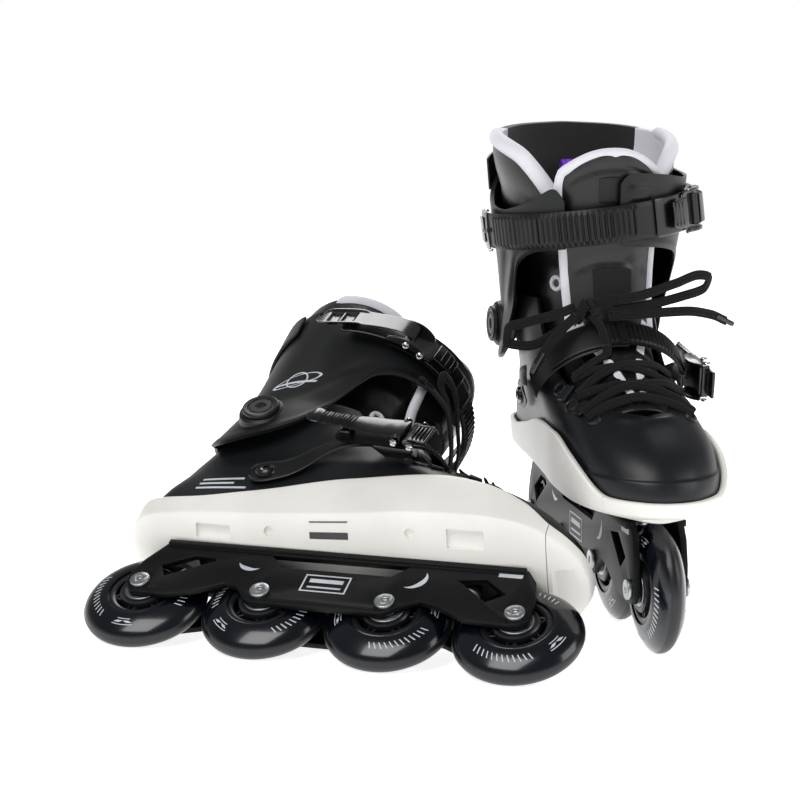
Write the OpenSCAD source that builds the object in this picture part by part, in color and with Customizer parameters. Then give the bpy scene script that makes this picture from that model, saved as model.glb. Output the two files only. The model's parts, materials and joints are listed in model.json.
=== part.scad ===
/* [Boot] */
// Length of the boot base from heel to toe
boot_length = 315; // [280:1:340]
// Width of the boot base across the ball of the foot
boot_width = 102; // [92:1:112]
// Height of the liner collar above the underside of the base
boot_height = 238; // [210:1:270]
// Wall of the moulded boot shell
shell_wall = 3.5; // [2.5:0.1:4.5]
// Wall of the padded liner
liner_wall = 6; // [4:0.5:8]
// Wall of the base tray
base_wall = 4; // [3:0.1:5]

/* [Cuff] */
// Wall of the cuff
cuff_wall = 3.5; // [2.5:0.1:4.5]
// Diameter of the cuff pivot disc
pivot_disc_d = 25; // [18:1:28]
// Diameter of the cuff pivot bush
pivot_bush_d = 12; // [8:0.5:14]

/* [Straps and laces] */
// Width of the cuff strap
cuff_strap_w = 24; // [18:1:28]
// Width of the instep strap
instep_strap_w = 23; // [18:1:28]
// Thickness of both straps
strap_t = 2.8; // [2:0.1:4]
// Thickness of a buckle lever
lever_t = 4; // [3:0.5:6]
// Diameter of the round space that a lace fills
lace_d = 4.6; // [3:0.1:6]

/* [Wheels and frame] */
// Diameter of a wheel
wheel_d = 80; // [72:1:80]
// Width of a wheel across the bearings
wheel_w = 24; // [22:0.5:26]
// Diameter of the plastic core inside the tyre
core_d = 43; // [38:1:50]
// Distance from one axle to the next
axle_pitch = 81.5; // [81:0.5:86]
// Height of the frame's top above the floor
frame_top = 81; // [81:0.5:90]
// Wall of each frame side
frame_wall = 4; // [3:0.25:5]
// Gap between a frame side and the wheel
frame_gap = 1; // [0.8:0.1:2]
// Distance between the two bolts that hold the frame
mount_pitch = 165; // [155:1:170]

/* [Bearings] */
// Diameter of the axle
axle_d = 8; // [6:0.5:8]
// Outer diameter of a bearing
bearing_d = 22; // [20:0.5:24]
// Width of a bearing
bearing_w = 7; // [5:0.5:8]
// Diameter of a bearing's inner ring
inner_ring_d = 12; // [11:0.5:13]

/* [Hidden] */
PIECES = ["boot_shell", "soul_plate", "toe_cap", "frame", "frame_bolts", "axles", "inner_rings",
  "liner", "tongue", "footbed", "instep_strap", "instep_buckle", "laces",
  "cuff", "cuff_pivots", "liner_collar", "cuff_strap", "cuff_buckle",
  "cuff_lever", "cuff_release", "instep_lever", "instep_release",
  "wheel_1", "wheel_2", "wheel_3", "wheel_4",
  "bearings_1", "bearings_2", "bearings_3", "bearings_4"];

// Where the right skate lies, on the edges of its wheels and base, and how it is turned
right_at = [-217, -118.5, 3.5];
right_turn = [-64, 0, -30];

// Scale of the boot's tables, which are drawn for the reference boot
sx = boot_length / 315;
sy = boot_width / 102;
sz = boot_height / 238;
fit = 0.05;
loose = 0.5;
axle_h = wheel_d / 2;
hub_y = wheel_w / 2;
plate_in = hub_y + frame_gap;
plate_out = plate_in + frame_wall;
pivot = [-86 * sx, 0, frame_top + 99 * sz];
pivot_y = 54.2 * sy;
flex = 12;
wedge = tan(flex + 3.5);

shell_dark = [0.13, 0.14, 0.16];
white_base = [0.93, 0.92, 0.89];
black = [0.07, 0.07, 0.08];

function lerp(a, b, t) = a + (b - a) * t;
function unit(v) = v / norm(v);

// Half width of a foot along its length, as a share of the ball's half width
FOOT = [[0, 0], [0.0126, 0.36], [0.05, 0.6], [0.11, 0.68], [0.2, 0.73], [0.335, 0.78], [0.495, 0.87],
  [0.655, 0.98], [0.767, 1], [0.863, 0.93], [0.93, 0.74], [0.97, 0.5], [0.9874, 0.34], [1, 0]];

// Levels: height above the base's underside, back, front, lateral, medial, roundness
BASE_LEVELS = [[0, -128, 128, 20, 20, 0.3], [10, -153, 154, 49, 47, 0], [13, -154, 155, 49.5, 47.5, 0],
  [46, -157, 158, 52, 50, 0]];
SHELL_LEVELS = [[13.5, -147.5, 149, 44.3, 42.3, 0], [18, -148.3, 151, 44.7, 42.7, 0],
  [31, -148.5, 147, 45.4, 43.4, 0], [43, -146.5, 136, 46, 44, 0.1], [53, -143, 118, 45.5, 44.3, 0.25],
  [62, -140, 97, 45, 44.5, 0.45], [71, -138, 72, 44, 43.5, 0.6], [82, -134, 48, 44.5, 44, 0.75],
  [97, -127.5, 28, 46, 46, 0.9], [105, -123, 20, 46.5, 46.5, 1], [114, -120.5, 12, 46, 46, 1],
  [123, -118.5, 4, 45.5, 45.5, 1]];
LINER_LEVELS = [[17.5, -143, 144, 40, 38, 0], [31, -143.5, 141, 40.5, 38.5, 0], [43, -142, 126, 41, 39, 0.1],
  [53, -138.5, 96, 40.3, 39, 0.25], [62, -135.5, 70, 39.8, 38.8, 0.45], [71, -133.5, 50, 39.3, 38.3, 0.6],
  [82, -129.5, 33, 39.8, 38.8, 0.75], [99, -121.5, 15, 40.8, 40.8, 0.9]];
COLLAR_LEVELS = [[99, -119, 4, 37, 37, 1], [125, -113.5, -6, 38, 38, 1], [140, -113, -6, 39.3, 39.3, 1],
  [156, -113, 1, 48, 48, 1], [170, -113.5, 3, 51.5, 51.5, 1], [195, -115, 4, 56.3, 56.3, 1],
  [238, -117, 7, 63, 63, 1]];
CUFF_LEVELS = [[69, -140, 5, 52.5, 52.5, 1], [99, -131, 6, 54, 54, 1], [112, -128, 7.5, 53.7, 53.7, 1],
  [125, -125, 13, 55.5, 55.5, 1], [151, -122, 22, 59.5, 59.5, 1], [181, -121.5, 25, 64, 64, 1],
  [221, -122, 25, 68, 68, 1]];
// Height of the base's rim along the boot
RIM = [[-157, 27], [-115, 26], [-72, 32], [-7, 44], [54, 46], [90, 39], [115, 29], [135, 19], [158, 18]];
// Lower and upper edge of the cuff by angle from the front, counted through the lateral side
CUFF_LOW = [[0, 160], [24, 159], [50, 155], [66, 145], [74, 112], [84, 90], [98, 78], [118, 73],
  [140, 82], [160, 98], [180, 104], [200, 98], [220, 82], [242, 73], [262, 78], [276, 90],
  [286, 112], [294, 145], [310, 155], [330, 158]];
CUFF_HIGH = [[0, 205], [30, 207], [60, 203], [90, 205], [130, 215], [180, 221], [200, 220], [220, 211],
  [240, 195], [262, 183], [280, 181], [300, 185], [318, 191], [330, 196]];
// Front edge of the tongue: forward, height above the base's underside
TONGUE_LOW = [[88, 65], [80, 69], [58, 79], [42, 89], [31, 98]];
TONGUE_HIGH = [[15, 131], [15.5, 148], [17, 170], [18, 195], [19.5, 219]];

ring_n = 28;
ring_angles = [for (k = [0:ring_n - 1]) 360 * k / ring_n];
cuff_angles = [2, 14, 28, 42, 54, 66, 74, 84, 98, 118, 140, 160, 180, 200, 220, 242, 262, 276, 286, 294,
  306, 318, 330];
throat_row = 5;
throat_columns = 3;

function level(levels, h, k) = lookup(h, [for (l = levels) [l[0], l[k]]]);
function share(s, roundness) = lerp(lookup(s, FOOT), sqrt(max(0, 1 - pow(2 * s - 1, 2))), roundness);
// A point on a boot surface at angle a and table height h, pulled in by d
function on_boot(levels, a, h, d) =
  let (s = (1 + cos(a)) / 2,
    w = share(s, level(levels, h, 5)),
    side = sin(a) >= 0 ? level(levels, h, 3) * sy - d : d - level(levels, h, 4) * sy)
  [lerp(level(levels, h, 1) * sx + d, level(levels, h, 2) * sx - d, s), w * side, frame_top + h * sz];
function sleeve(levels, angles, rows, low, high, d) =
  [for (i = [0:rows]) [for (a = angles) on_boot(levels, a, lerp(low(a), high(a), i / rows), d)]];
function rings(levels, d, lift = 0) =
  [for (i = [0:len(levels) - 1]) [for (a = ring_angles)
    on_boot(levels, a, levels[i][0], d) + [0, 0, i == 0 ? lift : 0]]];
function halves(q) = [[q[0], q[1], q[2]], [q[0], q[2], q[3]]];

// A wall between an outer and an inner grid of points
module wall(outer, inner, closed = true, floored = false, open = function(i, j) false) {
  r = len(outer);
  c = len(outer[0]);
  last = closed ? c - 1 : c - 2;
  o = function(i, j) i * c + (j + c) % c;
  n = function(i, j) r * c + i * c + (j + c) % c;
  gone = function(i, j) i < 0 || i > r - 2 || (!closed && (j < 0 || j > last)) || open(i, (j + c) % c);
  quads = [for (i = [0:r - 2]) for (j = [0:last]) if (!open(i, j))
    each [[o(i, j), o(i + 1, j), o(i + 1, j + 1), o(i, j + 1)],
      [n(i, j), n(i, j + 1), n(i + 1, j + 1), n(i + 1, j)],
      if (gone(i - 1, j) && !(floored && i == 0)) [o(i, j), o(i, j + 1), n(i, j + 1), n(i, j)],
      if (gone(i + 1, j)) [o(i + 1, j + 1), o(i + 1, j), n(i + 1, j), n(i + 1, j + 1)],
      if (gone(i, j - 1)) [o(i + 1, j), o(i, j), n(i, j), n(i + 1, j)],
      if (gone(i, j + 1)) [o(i, j + 1), o(i + 1, j + 1), n(i + 1, j + 1), n(i, j + 1)]]];
  caps = floored ? [[for (j = [0:c - 1]) o(0, j)], [for (j = [c - 1:-1:0]) n(0, j)]] : [];
  polyhedron(concat([for (row = outer) each row], [for (row = inner) each row]),
    concat([for (q = quads) each halves(q)], caps), convexity = 8);
}

// A flat path with thickness t to its left
function ribbon(p, t) = let (m = len(p) - 1) concat(p, [for (i = [m:-1:0])
  let (d = unit(p[min(i + 1, m)] - p[max(i - 1, 0)])) p[i] + t * [-d[1], d[0]]]);

module rod(d, l, at) {
  translate(at) rotate([90, 0, 0]) cylinder(d = d, h = l, center = true, $fn = 48);
}

module block(size, r) {
  linear_extrude(size[2], center = true) hull() for (i = [-1, 1], j = [-1, 1])
    translate([i * (size[0] / 2 - r), j * (size[1] / 2 - r)]) circle(r, $fn = 24);
}

// ---- Base ----
function rim(a) = lookup(on_boot(BASE_LEVELS, a, 46, 0)[0] / sx, RIM);
seam_x = 130 * sx;
module base_body() {
  outer = [for (h = [0, 10, 13]) [for (a = ring_angles) on_boot(BASE_LEVELS, a, h, 0)]];
  top = [for (a = ring_angles) on_boot(BASE_LEVELS, a, rim(a), 0)];
  top_in = [for (a = ring_angles) on_boot(BASE_LEVELS, a, rim(a), base_wall)];
  floor_in = [for (a = ring_angles) on_boot(BASE_LEVELS, a, 13, base_wall)];
  pts = concat(outer[0], outer[1], outer[2], top, top_in, floor_in);
  n = ring_n;
  sides = [for (i = [0:4]) for (j = [0:n - 1])
    each halves([i * n + j, (i + 1) * n + j, (i + 1) * n + (j + 1) % n, i * n + (j + 1) % n])];
  polyhedron(pts, concat(sides, [[for (j = [0:n - 1]) j]], [[for (j = [n - 1:-1:0]) 5 * n + j]]), convexity = 6);
}

module soul_plate() color(white_base)
  difference() {
    base_body();
    translate([seam_x + 200, 0, frame_top]) cube([400, 400, 400], center = true);
    for (x = [-1, 1] * mount_pitch / 2) translate([x, 0, frame_top - 1]) cylinder(d = 8.6, h = 30, $fn = 32);
  }

module toe_cap() color(white_base)
  intersection() {
    base_body();
    translate([seam_x + 200 + loose, 0, frame_top]) cube([400, 400, 400], center = true);
  }

// ---- Boot shell ----
module boot_shell() color(shell_dark)
  difference() {
    wall(rings(SHELL_LEVELS, 0), rings(SHELL_LEVELS, shell_wall, shell_wall), floored = true,
      open = function(i, j) i >= throat_row && (j < throat_columns || j >= ring_n - throat_columns));
    for (x = [-1, 1] * mount_pitch / 2) translate([x, 0, frame_top]) cylinder(d = 8.6, h = 30, $fn = 32);
    rod(pivot_bush_d + 2 * fit, 2 * pivot_y, pivot);
  }

module footbed() color([0.25, 0.25, 0.27])
  translate([0, 0, frame_top + 24 * sz]) linear_extrude(4)
    polygon([for (a = ring_angles) let (p = on_boot(LINER_LEVELS, a, 28, liner_wall + 3)) [p[0], p[1]]]);

module liner() color(black)
  wall(rings(LINER_LEVELS, 0), rings(LINER_LEVELS, liner_wall, liner_wall - 0.5), floored = true);

module liner_collar() color(black) {
  low = function(a) 99.6 + max(0, on_boot(COLLAR_LEVELS, a, 110, 0)[0] - pivot[0]) * wedge / sz;
  high = function(a) lookup(cos(a), [[-1, 238], [-0.5, 231], [0, 213], [0.6, 190], [1, 181]]);
  wall(sleeve(COLLAR_LEVELS, ring_angles, 6, low, high, 0),
    sleeve(COLLAR_LEVELS, ring_angles, 6, low, high, liner_wall));
  tongue_part(TONGUE_HIGH, 28, 6.5, 11);
}

// A curved strip that follows a profile in the middle plane and falls away at its sides
module tongue_part(profile, half, t, fall) {
  m = len(profile) - 1;
  dir = function(i) unit(profile[min(i + 1, m)] - profile[max(i - 1, 0)]);
  skin = function(d) [for (i = [0:m]) [for (k = [-4:4])
    let (u = k / 4, v = dir(i), out = [v[1], -v[0]] * (-d - fall * u * u), p = profile[i] + out)
    [p[0] * sx, u * half * sy, frame_top + p[1] * sz]]];
  wall(skin(0), skin(t), closed = false);
}

module tongue() color(black) tongue_part(TONGUE_LOW, 26, 6, 8);

// ---- Cuff ----
module cuff() color(shell_dark)
  difference() {
    union() {
      low = function(a) lookup(a, CUFF_LOW);
      high = function(a) lookup(a, CUFF_HIGH);
      wall(sleeve(CUFF_LEVELS, cuff_angles, 4, low, high, 0),
        sleeve(CUFF_LEVELS, cuff_angles, 4, low, high, cuff_wall), closed = false);
      for (s = [-1, 1]) rod(pivot_disc_d + 5, 6, pivot + [0, s * (pivot_y - 3), 0]);
    }
    rod(pivot_bush_d + 2 * fit, 4 * pivot_y, pivot);
  }

module cuff_pivots() color([0.2, 0.2, 0.21])
  for (s = [-1, 1]) {
    rod(pivot_bush_d, 15, pivot + [0, s * (pivot_y - 7), 0]);
    rod(pivot_disc_d, 3, pivot + [0, s * (pivot_y + 0.4 + 1.5), 0]);
  }

// ---- Cuff strap and its buckle ----
strap_h = 175;
strap_tilt = 7;
strap_gap = 3;
buckle_gap = strap_gap + strap_t + 0.6;
module at_cuff_strap() {
  translate([0, 0, frame_top + strap_h * sz]) rotate([strap_tilt, 0, 0]) children();
}
function cuff_path(from, to, d) = [for (a = [from:7:to])
  let (p = on_boot(CUFF_LEVELS, a, 178, -d)) [p[0], p[1]]];
module cuff_band(from, to, d, t, h) {
  linear_extrude(h, center = true) polygon(ribbon(cuff_path(from, to, d + t), t));
}
lever_pin = cuff_path(58, 58, buckle_gap + 5.8)[0];

module cuff_strap() color(black)
  at_cuff_strap() {
    cuff_band(-88, 66, strap_gap, strap_t, cuff_strap_w);
    cuff_band(-104, -90, strap_gap, 6, cuff_strap_w + 4);
  }

module cuff_buckle() color(black)
  at_cuff_strap() {
    cuff_band(44, 93, buckle_gap, 2, cuff_strap_w + 3);
    for (s = [-1, 1]) translate([0, 0, s * (cuff_strap_w / 2 + 0.5)]) cuff_band(51, 65, buckle_gap + 1.8, 5.5, 2);
    translate([lever_pin[0], lever_pin[1], 0]) cylinder(d = 3, h = cuff_strap_w + 4, center = true, $fn = 24);
  }

module cuff_lever() color(black)
  at_cuff_strap() difference() {
    union() {
      cuff_band(58, 107, buckle_gap + 3, lever_t, cuff_strap_w - 3);
      translate([lever_pin[0], lever_pin[1], 0]) cylinder(d = 7, h = cuff_strap_w - 3, center = true, $fn = 32);
    }
    translate([lever_pin[0], lever_pin[1], 0]) cylinder(d = 3 + 2 * fit, h = 60, center = true, $fn = 24);
  }

module cuff_release() color(black)
  at_cuff_strap() {
    cuff_band(30, 44, buckle_gap + 2.6, 2.4, cuff_strap_w - 4);
  }

// ---- Instep strap and its buckle ----
instep_at = [30 * sx, 0, frame_top + 101 * sz];
instep_tilt = -52;
module at_instep() {
  translate(instep_at) rotate([0, instep_tilt, 0]) children();
}
// Half loop over the instep: lateral side up, then down to the medial side
function loop(from, to, d) = [for (a = [from:10:to]) [-40 + (43 + d) * cos(a), (48 + d) * sy * sin(a)]];
module instep_band(from, to, d, t, w) {
  linear_extrude(w, center = true) polygon(ribbon(loop(from, to, d + t), t));
}
arm_points = [[-78, 52], [-68, 42], [-52, 47], [-20, 65], [-6, 66], [-4, 72], [-8, 78], [-24, 77], [-50, 66], [-72, 62]];
module strap_arm(y) {
  difference() {
    translate([0, y, frame_top]) rotate([90, 0, 0]) linear_extrude(strap_t, center = true) {
      polygon([for (p = arm_points) [p[0] * sx, p[1] * sz]]);
    }
    rod(5.2, 20, [-67 * sx, y, frame_top + 52 * sz]);
  }
  rod(5, strap_t + 5, [-67 * sx, y * (1 - 1.6 / abs(y)), frame_top + 52 * sz]);
}

module instep_strap() color(black) {
  at_instep() instep_band(-90, 70, 0, strap_t, instep_strap_w);
  for (y = [50.5, -50.5] * sy) strap_arm(y);
}

buckle_at = [4 * sx, 56.4 * sy, frame_top + 76 * sz];
module at_buckle() {
  translate(buckle_at) rotate([0, 8, 0]) children();
}
module instep_buckle() color(black)
  at_buckle() {
    rotate([90, 0, 0]) block([52, 25, 2], 4);
    for (s = [-1, 1]) translate([14, 4.4, s * 11.5]) rotate([90, 0, 0]) block([22, 2, 6.4], 0.9);
    translate([18, 4.6, 0]) cylinder(d = 3, h = 24, center = true, $fn = 24);
  }

module instep_lever() color(black)
  at_buckle() difference() {
    translate([18, 4.6, 0]) union() {
      cylinder(d = 6.4, h = 20, center = true, $fn = 32);
      translate([-34, 1, 0]) cube([68, lever_t, 18], center = true);
    }
    translate([18, 4.6, 0]) cylinder(d = 3 + 2 * fit, h = 60, center = true, $fn = 24);
  }

module instep_release() color(black)
  at_buckle() translate([32, 5, 0]) cube([14, 2.4, 18], center = true);

// ---- Laces ----
lace_rows = [
  [[79, -36, 62], [76, -22, 71], [72, 0, 78], [66, 20, 77], [60, 33, 71]],
  [[60, -34, 71], [56, -20, 81], [52, 0, 88], [49, 18, 86.5], [46, 31, 79]],
  [[46, -33, 80], [45, -20, 88.5], [43.5, -8, 92.5]]];
lace_bow = [
  [[27, -24, 122], [33, -8, 126], [37, 14, 130], [37, 36, 137], [34, 53, 142], [31, 61, 140],
    [30, 58, 133], [34, 44, 129], [35, 22, 124], [32, -4, 120]],
  [[28, -28, 122], [30, -40, 118], [26, -58, 113], [20, -70, 108], [17, -70, 99], [22, -58, 97],
    [29, -42, 105], [30, -30, 114]],
  [[31, -6, 116], [36, 20, 118], [37, 44, 119], [32, 62, 116], [28, 74, 111]],
  [[29, -28, 116], [33, -40, 106], [35, -50, 94], [34, -54, 86]]];

function tube_ring(p, d, r) = let (z = unit(d), x = unit(cross(z, abs(z[2]) < 0.9 ? [0, 0, 1] : [1, 0, 0])), y = cross(z, x))
  [for (k = [0:7]) p + r * (x * cos(45 * k) + y * sin(45 * k))];
module lace(route) {
  p = [for (q = route) [q[0] * sx, q[1] * sy, frame_top + q[2] * sz]];
  m = len(p) - 1;
  pts = [for (i = [0:m]) each tube_ring(p[i], p[min(i + 1, m)] - p[max(i - 1, 0)], lace_d / 2)];
  sides = [for (i = [0:m - 1]) for (k = [0:7])
    each halves([i * 8 + k, (i + 1) * 8 + k, (i + 1) * 8 + (k + 1) % 8, i * 8 + (k + 1) % 8])];
  polyhedron(pts, concat(sides, [[for (k = [0:7]) k]], [[for (k = [7:-1:0]) m * 8 + k]]), convexity = 6);
}
module laces() color([0.05, 0.05, 0.05]) {
  for (route = lace_rows) lace(route);
  for (route = lace_bow) lace(route);
}

// ---- Frame ----
module side_outline() {
  h = axle_pitch / 2;
  o = axle_pitch * 1.5;
  polygon([[-o + 4, frame_top], [-o - 6, frame_top - 19], [-o - 10, 49], [-o - 9.5, 38], [-o - 4, 31.5], [-o + 20, 31],
    [-o + 36, 36], [-2 * h + 15, 46], [-2 * h + 24, 43], [-h - 9, 33.5], [-h - 3, 31], [h + 1, 31],
    [h + 8, 38], [2 * h - 21, 45], [2 * h - 8, 41.5], [o - 30, 32.5], [o - 4, 30.5], [o + 4, 31.5],
    [o + 9, 37], [o + 8.5, 56], [o + 5, frame_top - 10], [o - 2, frame_top]]);
}
module side_windows() {
  h = axle_pitch / 2;
  o = axle_pitch * 1.5;
  polygon([[-o + 7, 58], [-o + 13, 47.5], [-o + 42, 66], [-o + 40, 68.5], [-o + 26, 69.5]]);
  polygon([[-h - 5, 76], [-h + 5, 65], [h - 4, 65], [h + 6, 76]]);
  polygon([[o - 43, 67], [o - 21, 49], [o - 10, 57.5], [o - 26, 70]]);
}
module frame() color([0.05, 0.05, 0.06])
  difference() {
    union() {
      for (s = [-1, 1]) translate([0, s * (plate_in + plate_out) / 2, 0]) rotate([90, 0, 0])
        linear_extrude(frame_wall, center = true) difference() {
          side_outline();
          side_windows();
        }
      for (s = [-1, 1]) translate([0.5, s * (plate_out + 0.7), frame_top - 2])
        cube([2 * axle_pitch * 1.5 - 7, 3, 4], center = true);
      for (x = [-1, 1] * axle_pitch) translate([x, 0, frame_top - 2]) cube([36, 2 * plate_in + 2, 4], center = true);
      for (i = [-1.5:1.5], s = [-1, 1])
        rod(inner_ring_d - 0.6, frame_gap + 1, [i * axle_pitch, s * (plate_in - (frame_gap - 1) / 2), axle_h]);
    }
    for (i = [-1.5:1.5]) rod(axle_d + 2 * fit, 80, [i * axle_pitch, 0, axle_h]);
    for (x = [-1, 1] * mount_pitch / 2) translate([x, 0, frame_top - 10]) cylinder(d = 8.6, h = 30, $fn = 32);
  }

module frame_bolts() color([0.6, 0.6, 0.62])
  for (x = [-1, 1] * mount_pitch / 2) translate([x, 0, 0]) {
    translate([0, 0, frame_top - 4.5]) cylinder(d = 8, h = 22, $fn = 32);
    difference() {
      translate([0, 0, frame_top - 9]) cylinder(d = 13, h = 4.5, $fn = 32);
      translate([0, 0, frame_top - 10]) cylinder(d = 5, h = 4, $fn = 6);
    }
  }

module axles() color([0.75, 0.75, 0.77])
  for (i = [-1.5:1.5]) {
    rod(axle_d, 2 * plate_out, [i * axle_pitch, 0, axle_h]);
    for (s = [-1, 1]) difference() {
      rod(axle_d + 4.5, 2.6, [i * axle_pitch, s * (plate_out + 1.3), axle_h]);
      translate([i * axle_pitch, s * (plate_out + 2.2), axle_h]) rotate([90, 0, 0])
        cylinder(d = 5, h = 2.4, center = true, $fn = 6);
    }
  }

module tube_y(od, id, l, at) {
  difference() {
    rod(od, l, at);
    rod(id, l + 2, at);
  }
}

module inner_rings() color([0.7, 0.7, 0.72])
  for (i = [-1.5:1.5]) {
    tube_y(axle_d + 3, axle_d + 2 * fit, wheel_w - 2 * bearing_w, [i * axle_pitch, 0, axle_h]);
    for (s = [-1, 1])
      tube_y(inner_ring_d, axle_d + 2 * fit, bearing_w, [i * axle_pitch, s * (hub_y - bearing_w / 2), axle_h]);
  }

// ---- Wheels, numbered from the heel ----
function wheel_x(k) = (k - 2.5) * axle_pitch;
// Half profile of the tyre: distance from the middle plane, radius as a share of the wheel's
tyre_half = [[0, 1], [3.2, 0.962], [6, 0.873], [8, 0.765], [9.6, 0.64], [10.6, 0.52]];
spoke_count = 6;
spoke_w = 3.5;
rim_t = 3.5;
hub_t = 3.5;
module at_wheel(k) {
  translate([wheel_x(k), 0, axle_h]) rotate([90, 0, 0]) children();
}

module tyre() {
  r = wheel_d / 2;
  last = len(tyre_half) - 1;
  far = [for (p = tyre_half) [r * p[1], -p[0] * wheel_w / 24]];
  near = [for (i = [last:-1:1]) [r * tyre_half[i][1], tyre_half[i][0] * wheel_w / 24]];
  edge = tyre_half[last][0] * wheel_w / 24;
  rotate_extrude($fn = 96) polygon(concat(far, [[core_d / 2, -edge], [core_d / 2, edge]], near));
}

module core() {
  c = core_d / 2 - fit;
  hub = bearing_d / 2 + hub_t;
  difference() {
    union() {
      cylinder(r = hub, h = wheel_w - 1, center = true, $fn = 64);
      difference() {
        cylinder(r = c, h = 19 * wheel_w / 24, center = true, $fn = 64);
        cylinder(r = c - rim_t, h = wheel_w + 1, center = true, $fn = 64);
      }
      for (a = [0:360 / spoke_count:359]) rotate(a) translate([(hub + c - rim_t) / 2, 0, 0])
        cube([c - rim_t - hub + 2, spoke_w, 14], center = true);
    }
    cylinder(d = bearing_d + 2 * fit, h = wheel_w + 1, center = true, $fn = 64);
  }
}

module wheel(k) at_wheel(k) {
  color([0.04, 0.05, 0.12]) tyre();
  color([0.2, 0.2, 0.22]) core();
}

module bearings(k) color([0.72, 0.72, 0.74])
  for (s = [-1, 1])
    tube_y(bearing_d, inner_ring_d + 2 * fit, bearing_w, [wheel_x(k), s * (hub_y - bearing_w / 2), axle_h]);

// ---- The pair ----
module skate(side) {
  boot_shell();
  soul_plate();
  toe_cap();
  frame();
  frame_bolts();
  axles();
  inner_rings();
  liner();
  tongue();
  footbed();
  instep_strap();
  instep_buckle();
  laces();
  cuff();
  cuff_pivots();
  liner_collar();
  cuff_strap();
  cuff_buckle();
  cuff_lever();
  cuff_release();
  instep_lever();
  instep_release();
  for (k = [1:4]) {
    wheel(k);
    bearings(k);
  }
}

rotate([0, 0, -90]) skate("left");
translate(right_at) rotate(right_turn) mirror([0, 1, 0]) skate("right");
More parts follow.
